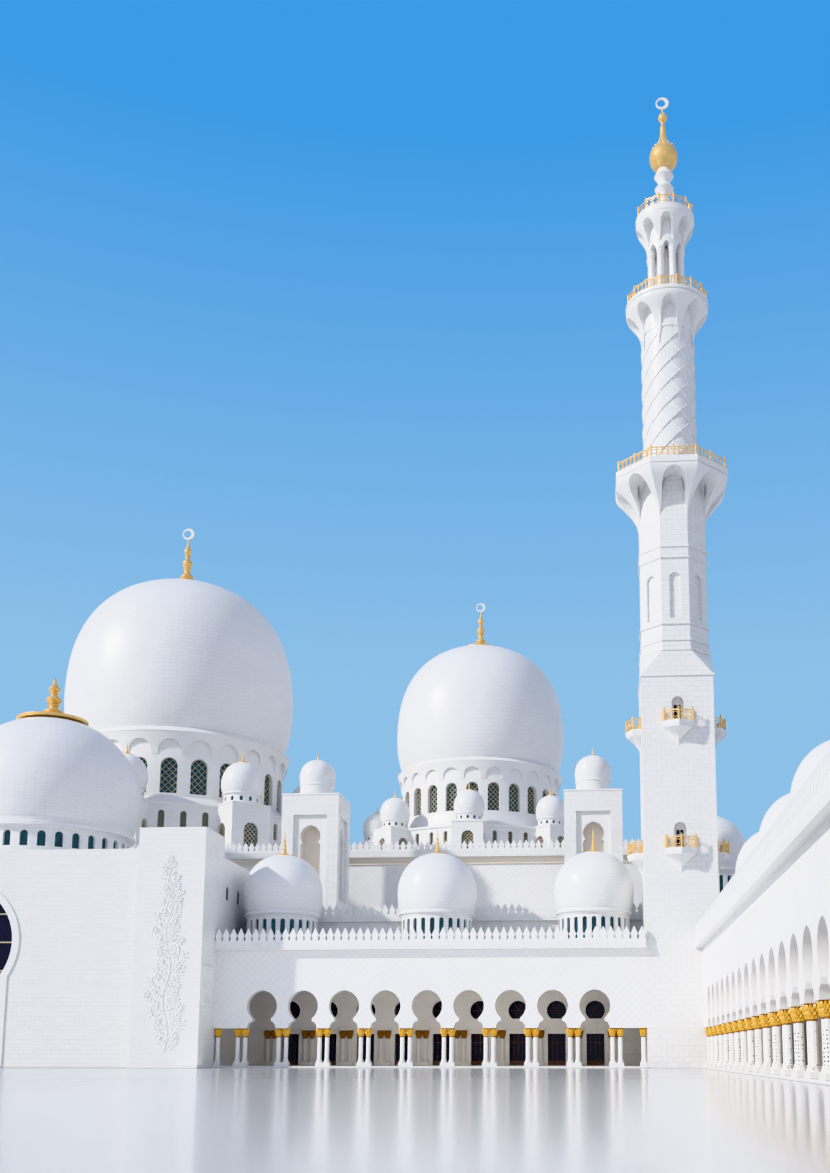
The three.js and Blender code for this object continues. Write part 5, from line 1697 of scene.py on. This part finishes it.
class MOSQUE_OT_minaret_finial(bpy.types.Operator):
    """Add the gilded bulb and the pale ring at the top of the minaret"""

    bl_idname = "mosque.minaret_finial"
    bl_label = "Minaret Finial"

    BULB = (
        (0.7, NECK_TOP), (0.95, 98.4), (1.28, 98.8), (1.5, 99.3), (1.56, 99.75), (1.5, 100.2),
        (1.33, 100.65), (1.05, 101.05), (0.8, 101.4), (0.58, 101.8), (0.42, 102.25), (0.33, 102.75),
        (0.29, 103.3),
        (0.27, 103.7), (0.2, 103.9), (0.18, 104.15), (0.34, 104.35), (0.5, 104.7), (0.44, 105.0),
        (0.24, 105.3), (0.1, 105.5), (0.07, 105.95),
    )
    RING_Z = 106.6
    RING_RADIUS = 0.74

    def execute(self, context):
        work = Work("gilt", "carved")
        profile = [(0, NECK_TOP), *smooth_curve(self.BULB, 2), (0, 105.95)]
        work.add(turned(profile, 40))
        knob = turned([(0, -0.1), (0.09, -0.04), (0.09, 0.04), (0, 0.1)], 8)
        work.add(knob, *[turn @ at(0, -1.19, 100.9) for turn in around(14)], finish=1)
        work.add(crescent(self.RING_RADIUS), at(0, 0, self.RING_Z), finish=1)
        minaret_done(work, "minaret_gilded_top", "gilt_metal", "minaret_finial")
        return {"FINISHED"}


class MOSQUE_OT_towers(bpy.types.Operator):
    """Add the two square towers with sunk panels, keyhole niches and small domes"""

    bl_idname = "mosque.towers"
    bl_label = "Towers"

    HALF = 3.325
    FRONT_Y = 17.8
    TOP = 31.3
    PANEL = (1.95, 18.9, 28.75)
    SINK = 0.35
    NICHE_DEPTH = 1.3
    NICHE = dict(half=1.2, foot=25.15, neck_half=0.95, neck=25.45, ring_z=26.3, radius=1.2, apex=27.6)

    def execute(self, context):
        for name, x in (("tower_left", FRONT_ARCHES[0]), ("tower_right", FRONT_ARCHES[-1])):
            self.add_tower(name, x)
        return {"FINISHED"}

    def add_tower(self, name, x):
        work = Work("tower", "carved", "small_dome", "gilt", "warm")
        foot = LOWER_ROOF + GAP
        half, low, high = self.PANEL
        panel = rectangle(-half, half, low, high)
        sides = around(4)
        work.add(facet(4, self.HALF, foot, self.TOP - 0.05, [panel], self.SINK), *sides)
        niche = keyhole(**self.NICHE)
        opening = [(-self.NICHE["half"], low + 0.1), *niche, (self.NICHE["half"], low + 0.1)]
        inner = self.HALF - self.SINK
        work.add(facet(4, inner, low - 0.2, high + 0.2, [opening], self.NICHE_DEPTH), *sides, finish=1)
        # The back of each niche, in beige marble, is painted shade of the deep recess.
        deep = inner - self.NICHE_DEPTH
        work.add(facet(4, deep, low - 0.2, high + 0.2, (), 0.2), *sides, finish=4)
        cap = [(self.HALF - 0.4, self.TOP - 0.2), (self.HALF + 0.06, self.TOP - 0.2),
               (self.HALF + 0.06, self.TOP - 0.02), (self.HALF - 0.05, self.TOP), (0, self.TOP)]
        work.add(prism([(0, self.TOP - 0.2), *cap], 4), finish=1)
        dome = [
            (0, -0.1), (2.0, -0.1), (2.0, 1.35), (2.1, 1.4), (2.1, 1.55), (2.02, 1.6), (2.06, 1.9),
            (2.13, 2.4), (2.1, 2.95), (1.95, 3.5), (1.65, 4.0), (1.2, 4.4), (0.6, 4.64), (0.0, 4.7),
        ]
        work.add(turned(dome, 48), at(0, 0, self.TOP), finish=2)
        work.add(slim_finial(1.1, 0.16), at(0, 0, self.TOP + 4.65), finish=3)
        centre = (x, self.FRONT_Y + self.HALF)
        move(work.bm, *centre)
        work.done(f"{name}_marble", "white_marble", name, centre=centre)


class MOSQUE_OT_gallery(bpy.types.Operator):
    """Add the pilasters, doors and round lights at the back of the front gallery"""

    bl_idname = "mosque.gallery"
    bl_label = "Gallery Back"

    DOOR = (0.94, 3.45)
    LIGHT = (1.05, 5.9)
    # Bars in front of the glazing: distance behind the wall's face, width, and top of the kick board
    BARS_Y = 0.7
    BAR = 0.06
    KICK_TOP = 0.62

    def execute(self, context):
        low, high = full_size_box("gallery_back_wall")
        foot = FLOOR_TOP + GAP
        half, top = self.DOOR
        radius, light_z = self.LIGHT
        outline = [(low.x, foot)]
        for x in FRONT_ARCHES:
            outline += [(x - half, foot), (x - half, top), (x + half, top), (x + half, foot)]
        outline += [(high.x, foot), (high.x, high.z), (low.x, high.z)]
        lights = [shifted(self.round_light(radius), x, light_z) for x in FRONT_ARCHES]
        work = Work("panels", "carved", "shade_gilt", "glass", "doors")
        work.add(plate(outline, lights, WALL), at(0, GALLERY_BACK_Y))
        bays = [at(x, GALLERY_BACK_Y) for x in FRONT_ARCHES]
        rim = plate(
            shifted(self.round_light(radius + 0.12), 0, light_z),
            [shifted(self.round_light(radius - 0.02), 0, light_z)], 0.14,
        )
        work.add(rim, *[bay @ at(0, -0.07) for bay in bays], finish=1)
        depth = self.BARS_Y
        for x in (-half * 0.5, 0.0, half * 0.5):
            work.add(bar((x, depth, foot), (x, depth, top), self.BAR), *bays, finish=4)
        work.add(bar((-half, depth, 2.5), (half, depth, 2.5), self.BAR), *bays, finish=4)
        work.add(block(-half, half, depth - 0.08, depth, foot, self.KICK_TOP), *bays, finish=4)
        for angle in (0, pi / 3, 2 * pi / 3):
            reach = radius * 0.98
            start = (reach * cos(angle), depth, light_z + reach * sin(angle))
            end = (-reach * cos(angle), depth, light_z - reach * sin(angle) * 0.8)
            work.add(bar(start, end, self.BAR), *bays, finish=4)
        self.add_pilasters(work, context.scene.mosque_sizes.shaft_radius, foot)
        work.done("gallery_doors_and_lights", "white_marble", "gallery_back_wall")
        return {"FINISHED"}

    def add_pilasters(self, work, radius, foot):
        """Half-sunk pairs of columns on the wall, each with a block under and over it."""
        piers = WINGS[0].piers()
        shifts = (-COLUMN_HALF_SPACING, COLUMN_HALF_SPACING)
        spots = [at(x + shift, GALLERY_BACK_Y - 0.12) for x in piers for shift in shifts]
        block_top = FLOOR_TOP + BLOCK_HEIGHT
        work.add(shaft(radius, block_top, CAPITAL_FOOT), *spots, finish=1)
        tops = [spot @ at(0, 0, CAPITAL_FOOT) for spot in spots]
        # The capitals on the back wall take the gold darkened as painted shade of the gallery.
        work.include(capital(radius), *tops, finishes=(2, 2))
        half_x, half_y = PAIR_HALF
        middles = [at(x, GALLERY_BACK_Y) for x in piers]
        for low, high in ((foot, block_top), (CAPITAL_TOP, CAPITAL_TOP + 0.25)):
            work.add(block(-half_x, half_x, -half_y, 0.1, low, high, 0.03), *middles, finish=1)

    def round_light(self, radius):
        """Round light with a flat foot."""
        return arc(0, 0, radius, radians(-57), radians(237), 28)


class MOSQUE_OT_portal(bpy.types.Operator):
    """Add the entrance block's dome, doorway and carved piers"""

    bl_idname = "mosque.portal"
    bl_label = "Entrance Block"

    DOME = (MAIN_AXIS_X, 14.0)
    DOME_FOOT = 21.1
    RADIUS = 9.16
    DRUM = 4.2
    WALL_FACE = -3.6
    PIER_FACE = -4.6
    PIERS = (-84.235, -41.165)
    DOOR = dict(half=4.6, foot=0.16, neck_half=4.6, neck=9.0, ring_z=12.2, radius=5.6, apex=18.2)
    DOOR_RIM = dict(half=5.3, foot=0.16, neck_half=5.3, neck=8.8, ring_z=12.2, radius=6.3, apex=18.95)
    # Window bars of the doorway: their width and plane, the places of the upright ones, height and
    # half length of the level ones, and the reach of the upright ones into the round head
    BAR = 0.14
    BARS_Y = -2.8
    MULLIONS = (-3.1, -1.55, 0.0, 1.55, 3.1)
    RAILS = ((3.6, 4.6), (6.6, 4.6), (9.4, 4.6), (12.2, 5.5), (15.0, 4.7))
    HEAD_REACH = 5.55
    SIDE_LIGHT = (0.45, 16.9, 18.0, 18.5)
    SIDE_LIGHT_Y = [2.9 + i * 3.8 for i in range(7)]
    # Raised frame on a pier's outer side: middle, half width, foot, top and the width of its rim
    SIDE_FRAME = (-2.75, 1.45, 6.0, 9.7, 0.25)
    VINE_FOOT = 1.5
    VINE_TOP = 20.3
    VINE_JOINTS = 52
    STEM_WIDTH = 0.08
    SHOOT_WIDTH = 0.06
    # Leaves and petals: length, width and relief
    VINE_LEAF = (0.5, 0.27, 0.14)
    PETAL = (0.42, 0.28, 0.18)

    def execute(self, context):
        self.add_dome()
        self.add_doorway()
        self.add_vines()
        return {"FINISHED"}

    def add_doorway(self):
        """Raised rim and window bars of the doorway, and panes of the side lights."""
        work = Work("carved", "bars", "glass")
        rim = plate(keyhole(**self.DOOR_RIM) + keyhole(**self.DOOR)[::-1], depth=0.25)
        work.add(rim, at(MAIN_AXIS_X, self.WALL_FACE - 0.12))
        middle = at(MAIN_AXIS_X, self.BARS_Y)
        for x in self.MULLIONS:
            top = self.DOOR["ring_z"] + (self.HEAD_REACH ** 2 - x * x) ** 0.5
            work.add(bar((x, 0, self.DOOR["foot"]), (x, 0, top), self.BAR), middle, finish=1)
        for z, half in self.RAILS:
            work.add(bar((-half, 0, z), (half, 0, z), self.BAR), middle, finish=1)
        half, foot, spring, top = self.SIDE_LIGHT
        pane = plate(pointed_arch(half + PANE_LAP, foot, spring, top), depth=0.06)
        walls = (PORTAL_EAST - 0.1, PORTAL_WEST + 0.16)
        work.add(pane, *[at(x, y, 0, pi / 2) for x in walls for y in self.SIDE_LIGHT_Y], finish=2)
        y, half, foot, top, rim_width = self.SIDE_FRAME
        outer, inner = (
            rectangle(w - half, half - w, foot + w, top - w) for w in (0.0, rim_width)
        )
        sides = [at(PORTAL_EAST + 0.16, y, 0, pi / 2), at(PORTAL_WEST - 0.16, y, 0, -pi / 2)]
        work.add(plate(outer, [inner], 0.2), *sides)
        work.done("doorway_and_side_lights", "white_marble")

    def add_vines(self):
        """Low relief of a climbing plant on each pier: a winding stem, curling shoots and flowers."""
        work = Work("carved")
        joints = self.VINE_JOINTS
        rise = (self.VINE_TOP - self.VINE_FOOT) / joints
        stem = [(0.3 * sin(i * 0.35), self.VINE_FOOT + i * rise) for i in range(joints + 1)]
        places = [at(x, self.PIER_FACE) for x in self.PIERS]
        self.add_shoot(work, stem, self.STEM_WIDTH, places)
        for i in range(1, joints):
            x, z = stem[i]
            side = 1 if i % 2 else -1
            fullness = min(1.0, 0.45 + i / 14) * (1 - i / joints) ** 0.5
            reach = 1.85 * fullness * (0.78 + 0.22 * sin(i * 1.7))
            turns = [k * 0.32 for k in range(6)]
            shoot = [(x + side * reach * sin(a), z + reach * (1 - cos(a)) * 0.7) for a in turns]
            self.add_shoot(work, shoot, self.SHOOT_WIDTH, places)
            for k, (u, v) in enumerate(shoot[1:], 1):
                for flip in (0.8, -0.8):
                    turn = Matrix.Rotation(side * (0.9 - 0.15 * k) + flip + 0.3 * sin(i + k), 4, "Y")
                    work.add(leaf(*self.VINE_LEAF), *[place @ at(u, 0, v) @ turn for place in places])
            if i % 3 == 0:
                u, v = shoot[-1]
                turns = [Matrix.Rotation(k * tau / 6, 4, "Y") for k in range(6)]
                petals = [place @ at(u, 0, v) @ turn for place in places for turn in turns]
                work.add(leaf(*self.PETAL), *petals)
        work.done("pier_reliefs", "white_marble")

    def add_shoot(self, work, points, width, places):
        for (x0, z0), (x1, z1) in zip(points, points[1:]):
            work.add(bar((x0, -0.02, z0), (x1, -0.02, z1), width), *places)

    def add_dome(self):
        work = Work("small_dome", "drum_glass", "gilt", "carved")
        r = self.RADIUS
        drum_bays(work, r, 32, 0.0, self.DRUM, (0.42, 2.2, 3.9), 0.5)
        top = full_size_box("portal_dome")[1].z - self.DOME_FOOT
        crown = 18.4
        ledge = [
            (r + 0.15, self.DRUM), (r + 0.15, 4.35), (r + 0.6, 4.45), (r + 0.6, 4.8), (r + 0.35, 4.9),
            (r + 0.4, 5.4),
        ]
        curve = [
            (9.6, 5.4), (9.85, 6.2), (10.1, 7.6), (10.2, 9.0), (10.05, 10.6), (9.6, 12.2), (8.8, 13.8),
            (7.6, 15.3), (6.0, 16.7), (4.1, 17.7), (2.2, 18.2), (0.8, 18.38),
        ]
        inside = [(0.0, 17.6), (5.4, 16.0), (8.8, 12.0), (9.0, 6.0), (r - 0.5, self.DRUM)]
        work.add(turned(inside + ledge + smooth_curve(curve, 3) + [(0.0, crown)], 80))
        work.add(turned(rectangle(r - 0.5, r + 0.3, 0, 0.8), 64), finish=3)
        work.add(stacked_finial(top - crown, 1.1), at(0, 0, crown - 0.02), finish=2)
        move(work.bm, *self.DOME, self.DOME_FOOT + GAP)
        work.done("portal_dome_marble", "dome_marble", "portal_dome", centre=self.DOME)


class MOSQUE_PT_panel(bpy.types.Panel):
    """Lists the pieces in the order in which they are made"""

    bl_idname = "MOSQUE_PT_panel"
    bl_label = "Mosque"
    bl_space_type = "VIEW_3D"
    bl_region_type = "UI"
    bl_category = "Mosque"

    def draw(self, context):
        for group in (context.scene.mosque_colours, context.scene.mosque_sizes):
            for key in group.bl_rna.properties.keys():
                if key not in ("rna_type", "name"):
                    self.layout.prop(group, key)
        for piece in PIECES:
            self.layout.operator(piece.bl_idname)


PIECES = (
    MOSQUE_OT_finishes,
    MOSQUE_OT_stage,
    MOSQUE_OT_arcade_walls,
    MOSQUE_OT_columns,
    MOSQUE_OT_parapets,
    MOSQUE_OT_arcade_domes,
    MOSQUE_OT_great_domes,
    MOSQUE_OT_towers,
    MOSQUE_OT_gallery,
    MOSQUE_OT_portal,
    MOSQUE_OT_minaret_shaft,
    MOSQUE_OT_minaret_galleries,
    MOSQUE_OT_minaret_finial,
)
CLASSES = (MosqueColours, MosqueSizes, *PIECES, MOSQUE_PT_panel)


def register():
    for cls in CLASSES:
        bpy.utils.register_class(cls)
    bpy.types.Scene.mosque_colours = PointerProperty(type=MosqueColours)
    bpy.types.Scene.mosque_sizes = PointerProperty(type=MosqueSizes)


def unregister():
    del bpy.types.Scene.mosque_sizes
    del bpy.types.Scene.mosque_colours
    for cls in reversed(CLASSES):
        bpy.utils.unregister_class(cls)


def main():
    register()
    for piece in PIECES:
        group, name = piece.bl_idname.split(".")
        getattr(getattr(bpy.ops, group), name)()


if __name__ == "__main__":
    main()
